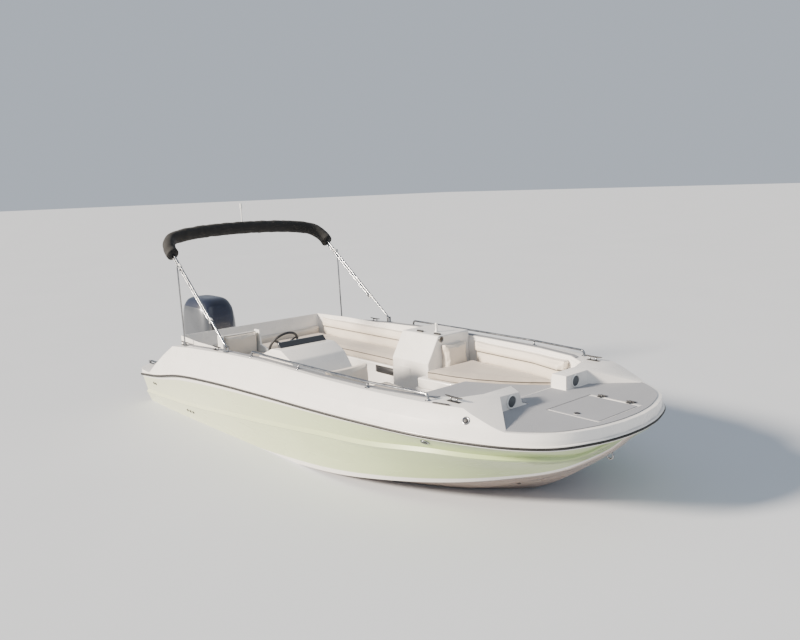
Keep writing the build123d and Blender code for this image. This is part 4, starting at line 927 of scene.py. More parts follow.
def lean_block(mesh):
    """The starboard speaker block's inboard end leans outboard, and its top dips towards it."""
    points = corners(mesh)
    end = ((np.abs(points[:, 1] + BLOCK_END) < BLOCK_NEAR) & (points[:, 0] > BLOCK_FROM)
           & (points[:, 2] > BLOCK_FOOT))
    points[end, 1] = np.interp(points[end, 2], list(BLOCK_LEAN), list(BLOCK_LEAN.values()))
    points[end & (points[:, 2] > BLOCK_TOP), 2] -= BLOCK_DIP
    from_speaker = np.hypot(points[:, 1] + SPEAKER[0], points[:, 2] - SPEAKER[1])
    seat = (from_speaker < SEAT_RADIUS) & (points[:, 0] > SEAT_FROM)
    points[seat, 1:] += (np.array(SPEAKER_OUT) - SPEAKER) * [-1, 1]
    moved(mesh, points)


def slim_shaft(mesh, x, y, radius):
    """A shaft is drawn in a little, so that its flats clear its bearing's at every turn."""
    points = corners(mesh)
    out = points[:, :2] - (x, y)
    reach = np.linalg.norm(out, axis=1)
    on_shaft = np.abs(reach - radius) < ON_SHAFT
    points[on_shaft, :2] -= out[on_shaft] * (SHAFT_PLAY / reach[on_shaft])[:, None]
    moved(mesh, points)


class BOAT_OT_mouldings(bpy.types.Operator):
    """Deck, liner, consoles, seat bases and small castings with rounded edges"""
    bl_idname = "boat.mouldings"
    bl_label = "Mouldings"

    def execute(self, context):
        for name, body, slot, look, width, angle in MOULDED:
            piece = rounded(copied(f"{name}_moulding", name), width, angle=angle)
            if name in ("deck", "cockpit_liner"):
                lean_block(piece.data)
            if name == "deck":
                crease_flank(piece.data)
            if name in SHAFTS:
                slim_shaft(piece.data, *SHAFTS[name])
            dress(piece, body, slot, finish(look), name)
        return {"FINISHED"}


# Foredeck mat, hatch and bow step

HATCH_HALF, HATCH_GAP, HATCH_RIM = 0.288, 0.008, 0.006
LID_TOP, LID_LOWERED, LID_MAT = 0.836, 0.8335, (0.8325, 0.8375)
LATCH_Y = -0.228
LATCH = [(0.0, 0.004), (0.012, 0.0042), (0.014, 0.0055), (0.024, 0.005), (0.026, 0.0)]
HINGE_HALF = 0.034
HINGE_PIN = (0.296, 0.845)
SLEEVE, SLEEVE_STEPS = 0.0061, (-0.0145, -0.0142, 0.0142, 0.0145)
HINGE_LEAF, LEAF_LEVELS = (0.02, 0.25, 0.292, 0.012), (0.8395, 0.8430)
HINGE_NECK, NECK_LEVELS = (0.0147, 0.2865, 0.2965, 0.002), (0.8380, 0.8462)
BLOCK_FACE = 2.35
MAT_BETWEEN, MAT_BESIDE = 0.25, 0.565
FLARE_START, FLARE_END, MAT_NOSE, NOSE_HALF = 2.66, (3.01, 1.29), 3.02, 0.02
STEP_EDGE = [(1.98, 0.790), (1.86, 0.752), (1.64, 0.578), (1.43, 0.446), (1.18, 0.330), (1.13, 0.305)]
STEP_MARGIN, STEP_AFT = 0.028, (0.03, 0.72)


def slab(name, x, edges, low, high, keep):
    """A flat piece over columns: at each x the edges give its lines across the boat, and keep
    says which cells are there.  Its top and bottom are joined by walls."""
    rows, columns = edges.shape
    flat = np.stack([np.broadcast_to(x[:, None], edges.shape), edges], axis=-1)
    points = np.concatenate([np.concatenate([flat, np.full(edges.shape + (1,), z)], axis=-1).reshape(-1, 3)
                             for z in (low, high)])
    index = np.arange(rows * columns).reshape(rows, columns)
    cells = np.stack([index[:-1, :-1], index[1:, :-1], index[1:, 1:], index[:-1, 1:]], axis=-1)[keep]
    lift = rows * columns
    around = np.stack([cells, np.roll(cells, -1, axis=-1)], axis=-1).reshape(-1, 2)
    key = np.sort(around, axis=1)
    _, back, count = np.unique(key, axis=0, return_inverse=True, return_counts=True)
    rim = around[count[back.ravel()] == 1]
    walls = np.column_stack([rim, rim[:, ::-1] + lift])
    faces = (cells + lift).tolist() + cells[:, ::-1].tolist() + walls.tolist()
    return made(name, points, faces)


def bow_outline(margin, count=240):
    """Plan line of the rub rail drawn in by a margin: half-breadth at each x, and its tip."""
    line = faired(count)[:, [0, 7]]
    ahead = unit(np.gradient(line, axis=0))
    inwards = np.stack([ahead[:, 1], -ahead[:, 0]], axis=1)
    inwards[-1] = (-1, 0)
    return line + margin * inwards


class BOAT_OT_foredeck(bpy.types.Operator):
    """Foredeck mat round the hatch, the hatch with its own mat and the bow step's mat"""
    bl_idname = "boat.foredeck"
    bl_label = "Foredeck"

    def execute(self, context):
        near, far = (np.array(corner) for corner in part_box("bow_hatch"))
        self.sheet(near, far, context.scene.boat_deck.mat_margin)
        self.lid(near, far)
        self.hinges()
        self.step()
        return {"FINISHED"}

    def sheet(self, near, far, margin):
        """Mat: at each x from side to side within the bow's plan line and the line that flares out
        from the speaker blocks, with a hole for the hatch."""
        low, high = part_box("foredeck_mat")
        line = bow_outline(margin)
        rail_y = np.interp(FLARE_START, line[:, 0], line[:, 1])
        flare = np.array([(BLOCK_FACE, MAT_BESIDE), (FLARE_START, rail_y + 0.004), FLARE_END])
        hole = (near[0] - HATCH_GAP, far[0] + HATCH_GAP)
        nose = line[-1, 0] - (1 - np.sin(np.linspace(0.6, np.pi / 2, 26))) * 0.3
        x = np.unique(np.concatenate([np.linspace(BLOCK_FACE, FLARE_START, 8),
                                      np.linspace(FLARE_START, MAT_NOSE, 24), hole, nose]))
        edge = np.minimum(np.interp(x, line[:, 0], line[:, 1]), np.interp(x, *flare.T))
        edge[-1] = NOSE_HALF
        x = np.concatenate([[low[0], BLOCK_FACE], x])
        edge = np.concatenate([[MAT_BETWEEN, MAT_BETWEEN], edge])
        inner = np.minimum(HATCH_HALF + HATCH_GAP, 0.7 * edge)
        keep = np.ones((len(x) - 1, 3), bool)
        middle = 0.5 * (x[1:] + x[:-1])
        keep[(middle > hole[0]) & (middle < hole[1]), 1] = False
        keep[1] = False
        mat = slab("foredeck_mat_sheet", x, np.stack([-edge, -inner, inner, edge], axis=1), low[2], high[2],
                   keep)
        dress(rounded(mat, 0.002, 2), "boat", "mat_grey", finish("mat"), "foredeck_mat")

    def lid(self, near, far):
        """Hatch lid with its mat and latch."""
        lid = copied("hatch_lid_moulding", "bow_hatch")
        points = corners(lid.data)
        points[np.abs(points[:, 2] - LID_TOP) < 1e-4, 2] = LID_LOWERED
        moved(lid.data, points)
        dress(rounded(lid, 0.003, 2), "hatch", "mat_grey", finish("white"), "bow_hatch")
        outline = oblong(near[0] + HATCH_RIM, far[0] - HATCH_RIM, HATCH_RIM - HATCH_HALF,
                         HATCH_HALF - HATCH_RIM - 0.03, 0.02)
        cover = plate("hatch_mat", outline, *LID_MAT)
        dress(rounded(cover, 0.0015, 2), "hatch", "mat_grey", finish("mat"))
        latch = revolved("hatch_latch", LATCH, (0.5 * (near[0] + far[0]), LATCH_Y, LID_MAT[1]), (0, 0, 1))
        dress(latch, "hatch", "plastic_black", finish("black"))

    def hinges(self):
        """Black sleeves over the lid's knuckles, each with its leaf and neck."""
        first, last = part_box("hatch_hinges")
        covers = []
        for x in (first[0] + HINGE_HALF, last[0] - HINGE_HALF):
            covers.append(tube("sleeve", [(x + step, *HINGE_PIN) for step in SLEEVE_STEPS], SLEEVE))
            for (half, inboard, outboard, radius), levels in ((HINGE_LEAF, LEAF_LEVELS),
                                                              (HINGE_NECK, NECK_LEVELS)):
                covers.append(plate("leaf", oblong(x - half, x + half, inboard, outboard, radius), *levels))
        dress(joined("hatch_leaves", covers), "hatch", "plastic_black", finish("black"))

    def step(self):
        """Bow step's mat: the step's plan outline, drawn in."""
        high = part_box("bow_step")[1]
        side = [(high[0] - STEP_AFT[0], STEP_AFT[1])] + [(x, y - STEP_MARGIN) for x, y in STEP_EDGE]
        outline = side + [(x, -y) for x, y in reversed(side)]
        tread = plate("bow_step_mat", rounded_corners(outline, 0.02), high[2] - 0.001, high[2] + 0.005)
        dress(rounded(tread, 0.0015, 2), "boat", "mat_grey", finish("mat"))


# Cushions

# Node, body, slot, finish, voxel, swell, heights of its piping over its foot or under its top.
CUSHIONS = [
    ("bow_cushion_port", "boat", "vinyl_tan", "tan", 0.014, 0.022, (-0.018,)),
    ("bow_cushion_starboard", "boat", "vinyl_tan", "tan", 0.014, 0.022, (-0.018,)),
    ("bow_back_port", "boat", "vinyl_ivory", "ivory", 0.013, 0.022, (0.1815, -0.016)),
    ("bow_back_starboard", "boat", "vinyl_ivory", "ivory", 0.013, 0.022, (0.1815, -0.016)),
    ("bow_lounge_pads", "boat", "vinyl_ivory", "ivory", 0.012, 0.020, ()),
    ("lounge_cushions", "boat", "vinyl_tan", "tan", 0.015, 0.024, (-0.018,)),
    ("lounge_backs", "boat", "vinyl_ivory", "ivory", 0.014, 0.022, (0.1885, -0.016)),
    ("helm_cushion", "helm_chair", "vinyl_tan", "tan", 0.009, 0.022, (-0.018,)),
    ("helm_back", "helm_chair", "vinyl_ivory", "ivory", 0.009, 0.020, ()),
]
# The pocket in the lounge base: from x, to x, from z, to z, and from the face, to the face of the black
# plate that paints the shade inside it.
POCKET = (-0.548, -0.222, 0.482, 0.563)
POCKET_SHADE_DEPTH = (0.004, 0.008)


class BOAT_OT_cushions(bpy.types.Operator):
    """Every seat and back cushion, filled and piped"""
    bl_idname = "boat.cushions"
    bl_label = "Cushions"

    def execute(self, context):
        # A black plate as painted shade inside the lounge base's pocket.
        self.pocket()
        for name, body, slot, look, voxel, swell, heights in CUSHIONS:
            low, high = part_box(name)
            pad = stuffed(copied(f"{name}_cover", name), voxel, swell, low[2])
            dress(pad, body, slot, finish(look), name)
            cuts = [((0, 0, low[2] + h if h > 0 else high[2] + h), (0, 0, 1)) for h in heights]
            if name == "helm_back":
                cuts.append(((0.5 * (low[0] + high[0]), 0, 0), (1, 0, 0)))
            if cuts:
                dress(piped(f"{name}_piping", pad, cuts), body, slot, finish("piping"))
        return {"FINISHED"}

    def pocket(self):
        """Painted shade inside the lounge base's pocket: a black plate just behind the face where a level
        line meets it.
        """
        base = ray_tree(NODES["lounge_base"].data)
        face_y = base.ray_cast((POCKET[0] - 0.05, 0.0, POCKET[3]), (0, 1, 0))[0][1]
        shade_plate = plate("pocket_lining", oblong(*POCKET, 0.006), *POCKET_SHADE_DEPTH)
        points = corners(shade_plate.data)
        moved(shade_plate.data, np.column_stack([points[:, 0], face_y + points[:, 2], points[:, 1]]))
        mended(shade_plate.data)
        dress(shade_plate, "boat", "plastic_black", finish("black"))


# Rails, cleats and small fittings

RAIL_POSTS = np.array([-0.52, 0.33, 1.326, 1.985])
RAIL_IN, RAIL_RISE, RAIL_BEND, RAIL_SIDES = 0.052, 0.050, 0.035, 18
FLANGE_RADIUS = 0.026
# Place along the boat and distance inboard of the gunwale's edge.
CLEATS = [(2.16, 0.120), (-1.25, 0.046), (-2.08, 0.052)]
HORN_HALF, HORN_RISE, HORN_CURL, HORN_THICK = 0.095, 0.031, 0.006, (0.0075, 12, 1.5)
BASE_THICK, BASE_SHORTER = (0.004, 12, 5.5), slice(4, -4)
CLEAT_POSTS, CLEAT_POST = (-0.032, 0.032), 0.0075
SPEAKER_FACE = 2.3304
FILLER = (2.393, 1.025)
FILLER_RAISED = 0.0042
BOW_LIGHT, LIGHT_OUT, LENS_RAISED = (3.1115, 0.15, 0.778), (0.985, 0.14, 0.12), 0.0115
BAR, BAR_IN, BAR_THICK = (2.06, 2.21), 0.012, (0.007, 12, 1.8)
BOW_EYE, BOW_EYE_RING = (2.95, 0, 0.478), (0.028, 0.0078, 40, 12)
STERN_EYE, STERN_EYE_RING = (-3.132, 0.85, 0.150), (0.026, 0.0062, 40, 12)

# Radius and height of the turned fittings, from their foot or middle outwards.
SPEAKER_RIM = [(0.048, 0.0), (0.058, 0.0), (0.058, 0.006), (0.055, 0.010), (0.050, 0.011), (0.047, 0.008),
               (0.046, 0.002), (0.048, 0.0)]
SPEAKER_GRILLE = [(0.0, 0.0075), (0.012, 0.0074), (0.026, 0.0064), (0.040, 0.0040), (0.0475, 0.0015),
                  (0.0475, 0.0)]
FILLER_RIM = [(0.032, 0.0), (0.032, 0.003), (0.029, 0.006), (0.024, 0.0065), (0.021, 0.0045), (0.0, 0.0045)]
FILLER_CAP = [(0.017, 0.0), (0.017, 0.004), (0.012, 0.0056), (0.0, 0.006)]
LIGHT_SHELL = [(0.026, -0.018), (0.027, 0.004), (0.024, 0.010), (0.019, 0.012), (0.0, 0.012)]
LIGHT_LENS = [(0.0185, 0.0), (0.017, 0.006), (0.012, 0.010), (0.006, 0.0118), (0.0, 0.0122)]
VENT = [(0.0, 0.004), (0.016, 0.004), (0.021, 0.0075), (0.028, 0.006), (0.030, 0.0)]
VENT_POCKET = [(0.0, 0.0055), (0.0155, 0.0052), (0.0165, 0.0)]
DRAIN = [(0.0, 0.003), (0.010, 0.003), (0.0155, 0.005), (0.0175, 0.0)]
# Place along the hull, height and stretch along the hull.
VENTS = [(2.03, 0.650, 1.5)]
DRAINS = [(-1.96, 0.115, 1), (-1.89, 0.115, 1), (-1.82, 0.115, 1), (-2.80, 0.30, 1), (-2.74, 0.30, 1),
          (2.30, 0.16, 1)]
PORT_AND_STARBOARD = ((1, "port"), (-1, "starboard"))


def flange(name, place, radius, tube_radius):
    """The round foot of a post: a low disc that curves up to the tube."""
    return revolved(name, [(radius, 0.0), (radius, 0.002), (0.9 * radius, 0.0038), (0.6 * radius, 0.005),
                           (1.15 * tube_radius, 0.009), (1.02 * tube_radius, 0.015)], place, (0, 0, 1), 24)


def fitted(name, place, axis, profile, look, slot="stainless", sides=40):
    """A turned fitting set on a surface of the boat."""
    return dress(revolved(name, profile, place, axis, sides), "boat", slot, finish(look))


def bar(name, path, thick, scale):
    """A closed bar: an oval of thick's radius, corners and width share carried along a path."""
    return surface(name, swept(circle(*thick), path, scale=scale), around=True, capped=True)


class BOAT_OT_rails(bpy.types.Operator):
    """Grab rails with their bent ends and posts"""
    bl_idname = "boat.rails"
    bl_label = "Grab rails"

    def execute(self, context):
        radius = context.scene.boat_deck.rail_radius
        half = GUNWALE_SHARE * rail_at(RAIL_POSTS)[0] - RAIL_IN
        top = gunwale_at(0.0) + RAIL_RISE
        foot = gunwale_at(RAIL_POSTS)
        bend = np.linspace(0, np.pi / 2, 9)[:-1]
        for side, hand in PORT_AND_STARBOARD:
            x = np.linspace(RAIL_POSTS[0] + RAIL_BEND, RAIL_POSTS[-1] - RAIL_BEND, 40)
            run = np.column_stack([x, side * np.interp(x, RAIL_POSTS, half), np.full(len(x), top)])
            first = self.bend(RAIL_POSTS[0], 1, side * half[0], top, bend)
            last = self.bend(RAIL_POSTS[-1], -1, side * half[-1], top, bend[::-1])
            feet = [[(RAIL_POSTS[k], side * half[k], foot[k])] for k in (0, -1)]
            parts = [tube("rail", np.vstack([feet[0], first, run, last, feet[1]]), radius, RAIL_SIDES)]
            for k, x in enumerate(RAIL_POSTS):
                place = (x, side * half[k], foot[k])
                if 0 < k < len(RAIL_POSTS) - 1:
                    parts.append(tube("post", [place, (*place[:2], top - 0.5 * radius)], 0.9 * radius))
                parts.append(flange("foot", place, FLANGE_RADIUS, radius))
            dress(joined(f"grab_rail_{hand}", parts), "boat", "stainless", finish("steel"), f"rail_{hand}")
        return {"FINISHED"}

    def bend(self, x, towards, y, top, turn):
        """A quarter circle from the post at x up to the rail, on the side it goes towards."""
        return np.column_stack([x + towards * RAIL_BEND * (1 - np.cos(turn)), np.full(len(turn), y),
                                top - RAIL_BEND * (1 - np.sin(turn))])


class BOAT_OT_fittings(bpy.types.Operator):
    """Cleats, filler caps, speakers, bow lights, tow eyes and the hull's outlets"""
    bl_idname = "boat.fittings"
    bl_label = "Fittings"

    def execute(self, context):
        self.cleats()
        deck = ray_tree(NODES["deck"].data)
        for side, hand, speaker in ((1, "port", SPEAKER), (-1, "starboard", SPEAKER_OUT)):
            self.speaker(side, hand, speaker)
            self.filler(side, hand, deck)
            self.light(side, hand)
        self.gunwale_bar()
        self.eyes()
        self.outlets()
        return {"FINISHED"}

    def cleats(self):
        """Cleats: a bar that curls up and thins to its ends, over a flat base and two posts."""
        horns, posts = [], []
        reach = np.linspace(-1, 1, 25)
        thick = np.sqrt(np.maximum(0.06, 1 - reach ** 6)) * (1 - 0.25 * reach ** 2)
        for x, inboard in CLEATS:
            for side, _ in PORT_AND_STARBOARD:
                y = side * (GUNWALE_SHARE * rail_at(x)[0] - inboard)
                z = gunwale_at(x) + 0.004
                path = np.column_stack([x + HORN_HALF * reach, np.full(len(reach), y),
                                        z + HORN_RISE + HORN_CURL * reach ** 2])
                horns.append(bar("horn", path, HORN_THICK, thick))
                foot = path[BASE_SHORTER] * [1, 1, 0] + [0, 0, z - 0.0015]
                horns.append(bar("base", foot, BASE_THICK, thick[BASE_SHORTER]))
                for dx in CLEAT_POSTS:
                    posts.append(tube("post", [(x + dx, y, z - 0.004), (x + dx, y, z + 0.03)], CLEAT_POST))
        dress(joined("cleat_horns", horns), "boat", "plastic_black", finish("black"), "cleats")
        dress(joined("cleat_posts", posts), "boat", "stainless", finish("steel"))

    def speaker(self, side, hand, speaker):
        """A speaker's rim and grille on the forward face of its block."""
        place = (SPEAKER_FACE, side * speaker[0], speaker[1])
        rim = revolved(f"speaker_rim_{hand}", SPEAKER_RIM, place, (1, 0, 0), 56, closed=False)
        replaced = ("deck_fittings",) if side == 1 else ()
        dress(rim, "boat", "stainless", finish("plastic"), *replaced)
        fitted(f"speaker_grille_{hand}", place, (1, 0, 0), SPEAKER_GRILLE, "grille", "plastic_black", 56)

    def filler(self, side, hand, deck):
        """A filler's rim and cap, where an upright line meets the deck."""
        place, normal = (np.array(found) for found in deck.ray_cast(
            (FILLER[0], side * FILLER[1], 2.0), (0, 0, -1))[:2])
        fitted(f"filler_rim_{hand}", place, normal, FILLER_RIM, "steel")
        fitted(f"filler_cap_{hand}", place + FILLER_RAISED * normal, normal, FILLER_CAP, "black",
               "plastic_black")

    def light(self, side, hand):
        """A bow light's shell and lens."""
        out = np.array(LIGHT_OUT) * [1, side, 1]
        place = np.array(BOW_LIGHT) * [1, side, 1]
        fitted(f"bow_light_shell_{hand}", place, out, LIGHT_SHELL, "steel")
        fitted(f"bow_light_lens_{hand}", place + LENS_RAISED * unit(out), out, LIGHT_LENS,
               "red" if side == 1 else "green", "screen_dark")

    def gunwale_bar(self):
        """The dark bar on the starboard gunwale, rounded off at both ends."""
        reach = np.linspace(0, 1, 12)[:, None]
        x = BAR[0] * (1 - reach) + BAR[1] * reach
        path = np.hstack([x, BAR_IN - GUNWALE_SHARE * rail_at(x)[0], gunwale_at(x) + 0.004])
        thick = np.sqrt(1 - 0.75 * (2 * reach[:, 0] - 1) ** 8)
        dress(bar("gunwale_bar", path, BAR_THICK, thick), "boat", "plastic_black", finish("black"))

    def eyes(self):
        """Tow eyes: one ring under the bow and one each side of the stern."""
        eyes = [ring("eye", BOW_EYE, (0, 1, 0), *BOW_EYE_RING)]
        for side, _ in PORT_AND_STARBOARD:
            eyes.append(ring("eye", np.array(STERN_EYE) * [1, side, 1], (0, 1, 0), *STERN_EYE_RING))
        dress(joined("tow_eye_rings", eyes), "boat", "stainless", finish("steel"), "tow_eyes")

    def outlets(self):
        """Skin fittings on both sides of the hull, each seated where a level line meets it."""
        hull = ray_tree(bpy.data.objects["hull_shell"].data)
        bright, dark = [], []
        for side, _ in PORT_AND_STARBOARD:
            for profile, group, spots in ((VENT, bright, VENTS), (VENT_POCKET, dark, VENTS),
                                          (DRAIN, dark, DRAINS)):
                for x, z, stretch in spots:
                    place, normal, _, _ = hull.ray_cast((x, side * 3.0, z), (0, -side, 0))
                    normal = np.array(normal) * np.sign(side * normal[1])
                    piece = revolved("outlet", profile, (0, 0, 0), normal, 32)
                    points = corners(piece.data)
                    along = unit(np.cross(normal, (0, 0, 1)))
                    points += np.outer(points @ along, along) * (stretch - 1)
                    moved(piece.data, points + np.array(place))
                    group.append(piece)
        dress(joined("hull_vents", bright), "boat", "stainless", finish("steel"))
        dress(joined("hull_outlets", dark), "boat", "plastic_black", finish("black"))


# Helm

WHEEL_RAKE = np.radians(35)
WHEEL_HUB = np.array((-0.655, -0.640, 0.985))
WHEEL_RING = (0.165, 0.0135, 96, 16)
SPOKE_FROM, SPOKE_TO, SPOKE_DISH, SPOKE_THICK = 0.03, 0.16, 0.022, (0.0048, 14, 3.2)
SPOKE_WIDTH = ([0.03, 0.08, 0.16], [1.25, 0.85, 1.05])
WHEEL_BOSS = [(0.0, 0.012), (0.024, 0.012), (0.036, 0.006), (0.041, -0.006), (0.041, -0.024), (0.03, -0.03),
              (0.0, -0.03)]
WHEEL_CAP = [(0.0, 0.0145), (0.017, 0.0142), (0.0205, 0.0125), (0.021, 0.0115)]
# x and z of the instrument panel's foot and top, and how far its face stands out.
PANEL_FOOT, PANEL_TOP, PANEL_OUT = np.array((-0.650, 0.880)), np.array((-0.225, 1.062)), 0.0052
# Share of the way up the panel, place across the boat and radius.
GAUGES = [(0.66, -0.735, 0.043), (0.66, -0.625, 0.043), (0.66, -0.535, 0.030), (0.50, -0.790, 0.022),
          (0.50, -0.540, 0.022)]
CUP_RING = [(0.024, 0.0), (0.024, 0.006), (0.029, 0.009), (0.034, 0.007), (0.035, 0.003), (0.035, 0.0)]
CUP_PLACE = (0.456, 0.617, 0.982)
CONSOLE_DOOR, DOOR_FOOT, DOOR_THICK = (0.02, 0.17, 0.0, 0.14, 0.02), 0.525, 0.006
CONSOLE_POST = [(0.021, 0.0), (0.021, 0.006), (0.013, 0.012), (0.012, 0.070), (0.016, 0.080), (0.016, 0.092),
                (0.010, 0.100), (0.0, 0.102)]
POST_PLACE = (0.26, 0.74, 1.0202)


class BOAT_OT_helm(bpy.types.Operator):
    """Steering wheel, gauges, throttle and the cup holder's ring"""
    bl_idname = "boat.helm"
    bl_label = "Helm"

    def execute(self, context):
        self.wheel()
        self.gauges()
        throttle = rounded(copied("throttle_and_handles", "console_fittings"), 0.004, angle=40)
        dress(throttle, "boat", "plastic_black", finish("black"), "console_fittings")
        fitted("cup_ring", CUP_PLACE, (1, 0, 0), CUP_RING, "steel")
        self.door()
        fitted("console_post", POST_PLACE, (0, 0, 1), CONSOLE_POST, "plastic", "plastic_white")
        return {"FINISHED"}

    def wheel(self):
        """Wheel: a ring, and three flat spokes that dip towards its boss with the square of the
        distance left to the rim."""
        axis = np.array((-np.cos(WHEEL_RAKE), 0, np.sin(WHEEL_RAKE)))
        aside = np.array((0, 1.0, 0))
        up = np.cross(axis, aside)
        rim = [ring("rim", WHEEL_HUB, axis, *WHEEL_RING)]
        reach = np.linspace(SPOKE_FROM, SPOKE_TO, 10)
        dish = SPOKE_DISH * (1 - reach / SPOKE_TO) ** 2
        for turn in np.radians((90, 210, 330)):
            out = np.cos(turn) * aside + np.sin(turn) * up
            path = WHEEL_HUB + reach[:, None] * out - dish[:, None] * axis
            grid = swept(circle(*SPOKE_THICK), path, tuple(axis), np.interp(reach, *SPOKE_WIDTH))
            rim.append(surface("spoke", grid, around=True, capped=True))
        rim.append(revolved("boss", WHEEL_BOSS, WHEEL_HUB, axis, 40))
        dress(joined("wheel_rim_and_spokes", rim), "wheel", "plastic_black", finish("black"),
              "steering_wheel")
        dress(revolved("wheel_cap", WHEEL_CAP, WHEEL_HUB, axis, 36), "wheel", "plastic_black",
              finish("steel"))

    def gauges(self):
        """Gauges: bright bezels and dark faces on the panel's slope."""
        along = unit(PANEL_TOP - PANEL_FOOT)
        out = np.array((-along[1], along[0]))
        dials, faces = [], []
        for share, y, radius in GAUGES:
            spot = PANEL_FOOT + share * (PANEL_TOP - PANEL_FOOT) + PANEL_OUT * out
            place, normal = (spot[0], y, spot[1]), (out[0], 0, out[1])
            bezel = [(radius - 0.005, 0.0015), (radius - 0.004, 0.006), (radius, 0.006),
                     (radius + 0.003, 0.002), (radius + 0.003, 0.0), (radius - 0.005, 0.0015)]
            face = [(0.0, 0.0022), (radius - 0.0045, 0.0022), (radius - 0.0045, 0.0)]
            dials.append(revolved("bezel", bezel, place, normal, 40, closed=False))
            faces.append(revolved("face", face, place, normal, 40))
        dress(joined("gauge_bezels", dials), "boat", "stainless", finish("steel"))
        dress(joined("gauge_faces", faces), "boat", "screen_dark", finish("screen"))

    def door(self):
        """The door on the port console's inboard face."""
        door = plate("console_door", oblong(*CONSOLE_DOOR), 0.0, DOOR_THICK)
        points = corners(door.data)
        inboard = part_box("port_console")[0][1]
        moved(door.data, np.column_stack([points[:, 0], inboard - points[:, 2], DOOR_FOOT + points[:, 1]]))
        mended(door.data)
        dress(rounded(door, 0.002, 2), "boat", "gelcoat_white", finish("white"))


# Motor

# Height over the cowl's foot, front face aft of its front, rear face forward of its back, width share.
COWL = np.array([(0.0, 0.060, 0.070, 0.80), (0.060, 0.025, 0.030, 0.94), (0.250, 0.0, 0.0, 1.0),
                 (0.450, 0.020, 0.005, 0.98), (0.590, 0.060, 0.030, 0.90), (0.670, 0.115, 0.080, 0.73),
                 (0.704, 0.200, 0.170, 0.48), (0.7085, 0.385, 0.385, 0.06)])
COWL_SQUARE = (0.50, 0.62)
COWL_HALF = 0.268
COWL_SIDES, COWL_ROWS = 112, 72
PANEL_FROM, PANEL_RISE, PANEL_ANGLES, PANEL_PROUD = 0.07, (0.10, 0.52), [157, 22], 0.0045
# Piece, slot, finish, angles, levels, how proud it stands, columns and rows.
REAR = [("motor_rear", "motor_silver", "graphite", (163, 197), (0.07, 0.60), 0.004, 24, 40),
        ("motor_rear_patch", "motor_silver", "silver", (166, 194), (0.36, 0.45), 0.008, 16, 10)]
SKIN = 0.006


def cowl_points(turn, level, proud=0.0):
    """Cowl: at each level a rounded oblong, middle + half its length * |cos|^0.5 along the boat and
    half its width * |sin|^0.62 across, the sizes on a smooth curve through the rows of COWL."""
    low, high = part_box("motor_cowl")
    shape = np.broadcast_shapes(turn.shape, level.shape)
    turn, level = np.broadcast_to(turn, shape), np.broadcast_to(level, shape)
    steps = np.linalg.norm(np.diff(COWL[:, [0, 1]], axis=0), axis=1) + 0.01
    knots = np.concatenate([[0], np.cumsum(steps)])
    rows = hermite(knots, COWL, level.ravel() * knots[-1]).reshape(*shape, 4)
    front, back = high[0] - rows[..., 1], low[0] + rows[..., 2]
    cos, sin = np.cos(turn), np.sin(turn)
    along = np.sign(cos) * np.abs(cos) ** COWL_SQUARE[0]
    across = np.sign(sin) * np.abs(sin) ** COWL_SQUARE[1]
    grow = proud / 0.3
    return np.stack([0.5 * (front + back) + 0.5 * (front - back) * along * (1 + 0.4 * grow),
                     COWL_HALF * rows[..., 3] * across * (1 + grow), low[2] + rows[..., 0]], axis=-1)


class BOAT_OT_motor(bpy.types.Operator):
    """Outboard's cowl with its silver side panels and dark rear face"""
    bl_idname = "boat.motor"
    bl_label = "Motor"

    def execute(self, context):
        turn = full_turn(COWL_SIDES) + 0.01
        level = np.linspace(0, 1, COWL_ROWS)[:, None]
        shell = surface("motor_cowl_shell", cowl_points(turn[None], level), around=True, capped=True)
        dress(shell, "motor", "motor_navy", finish("navy"), "motor_cowl")
        share = np.linspace(0, 1, 60)
        top = PANEL_RISE[0] + PANEL_RISE[1] * np.sqrt(np.maximum(0, 1 - share ** 9))
        rows = PANEL_FROM + np.linspace(0, 1, 34)[:, None] * (top - PANEL_FROM)[None]
        for side, hand in PORT_AND_STARBOARD:
            angle = side * np.radians(np.interp(share, [0, 1], PANEL_ANGLES))
            self.skin(f"motor_side_{hand}", "motor_silver", "silver", angle, rows, PANEL_PROUD)
        for name, slot, look, angles, levels, proud, columns, count in REAR:
            self.skin(name, slot, look, np.radians(np.linspace(*angles, columns)),
                      np.linspace(*levels, count)[:, None], proud)
        return {"FINISHED"}

    def skin(self, name, slot, look, angle, rows, proud):
        """A panel over the cowl, with a back behind it so that it is closed."""
        panel = surface(name, cowl_points(angle[None], rows, proud))
        middle = np.array((0.5 * sum(corner[0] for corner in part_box("motor_cowl")), 0.0, 0.8))
        outwards = np.einsum("ij,ij->i", corners(panel.data) - middle, normals(panel.data))
        if outwards.mean() < 0:
            panel.data.flip_normals()
        wall = panel.modifiers.new("thickness", "SOLIDIFY")
        wall.thickness, wall.offset = SKIN, -1
        soft = panel.modifiers.new("soft rim", "BEVEL")
        soft.width, soft.segments, soft.limit_method = 0.002, 2, "ANGLE"
        soft.angle_limit = np.radians(50)
        dress(panel, "motor", slot, finish(look))


# Finishes of nodes whose own shape is kept

KEPT = {"light_mast": "plastic"}


class BOAT_OT_kept(bpy.types.Operator):
    """Finishes of the nodes whose own shape is right"""
    bl_idname = "boat.kept"
    bl_label = "Kept nodes"

    def execute(self, context):
        for name, look in KEPT.items():
            NODES[name].data.materials.clear()
            NODES[name].data.materials.append(finish(look))
        return {"FINISHED"}


# Stage

FLOOR_EDGE = np.linspace(-200, 200, 9)
SKY = (0.80, 0.88, 1.0, 1)
KEY_COLOUR, KEY_PLACE = (1.0, 0.88, 0.74), (-3.6, -8.4, 4.6)
FILL_COLOUR, FILL_PLACE, FILL_SIZE = (0.90, 0.95, 1.0), (9.0, -4.0, 9.0), 9.0
LIT_POINT = np.array([0.3, 0.0, 0.5])
SENSOR = 36.0


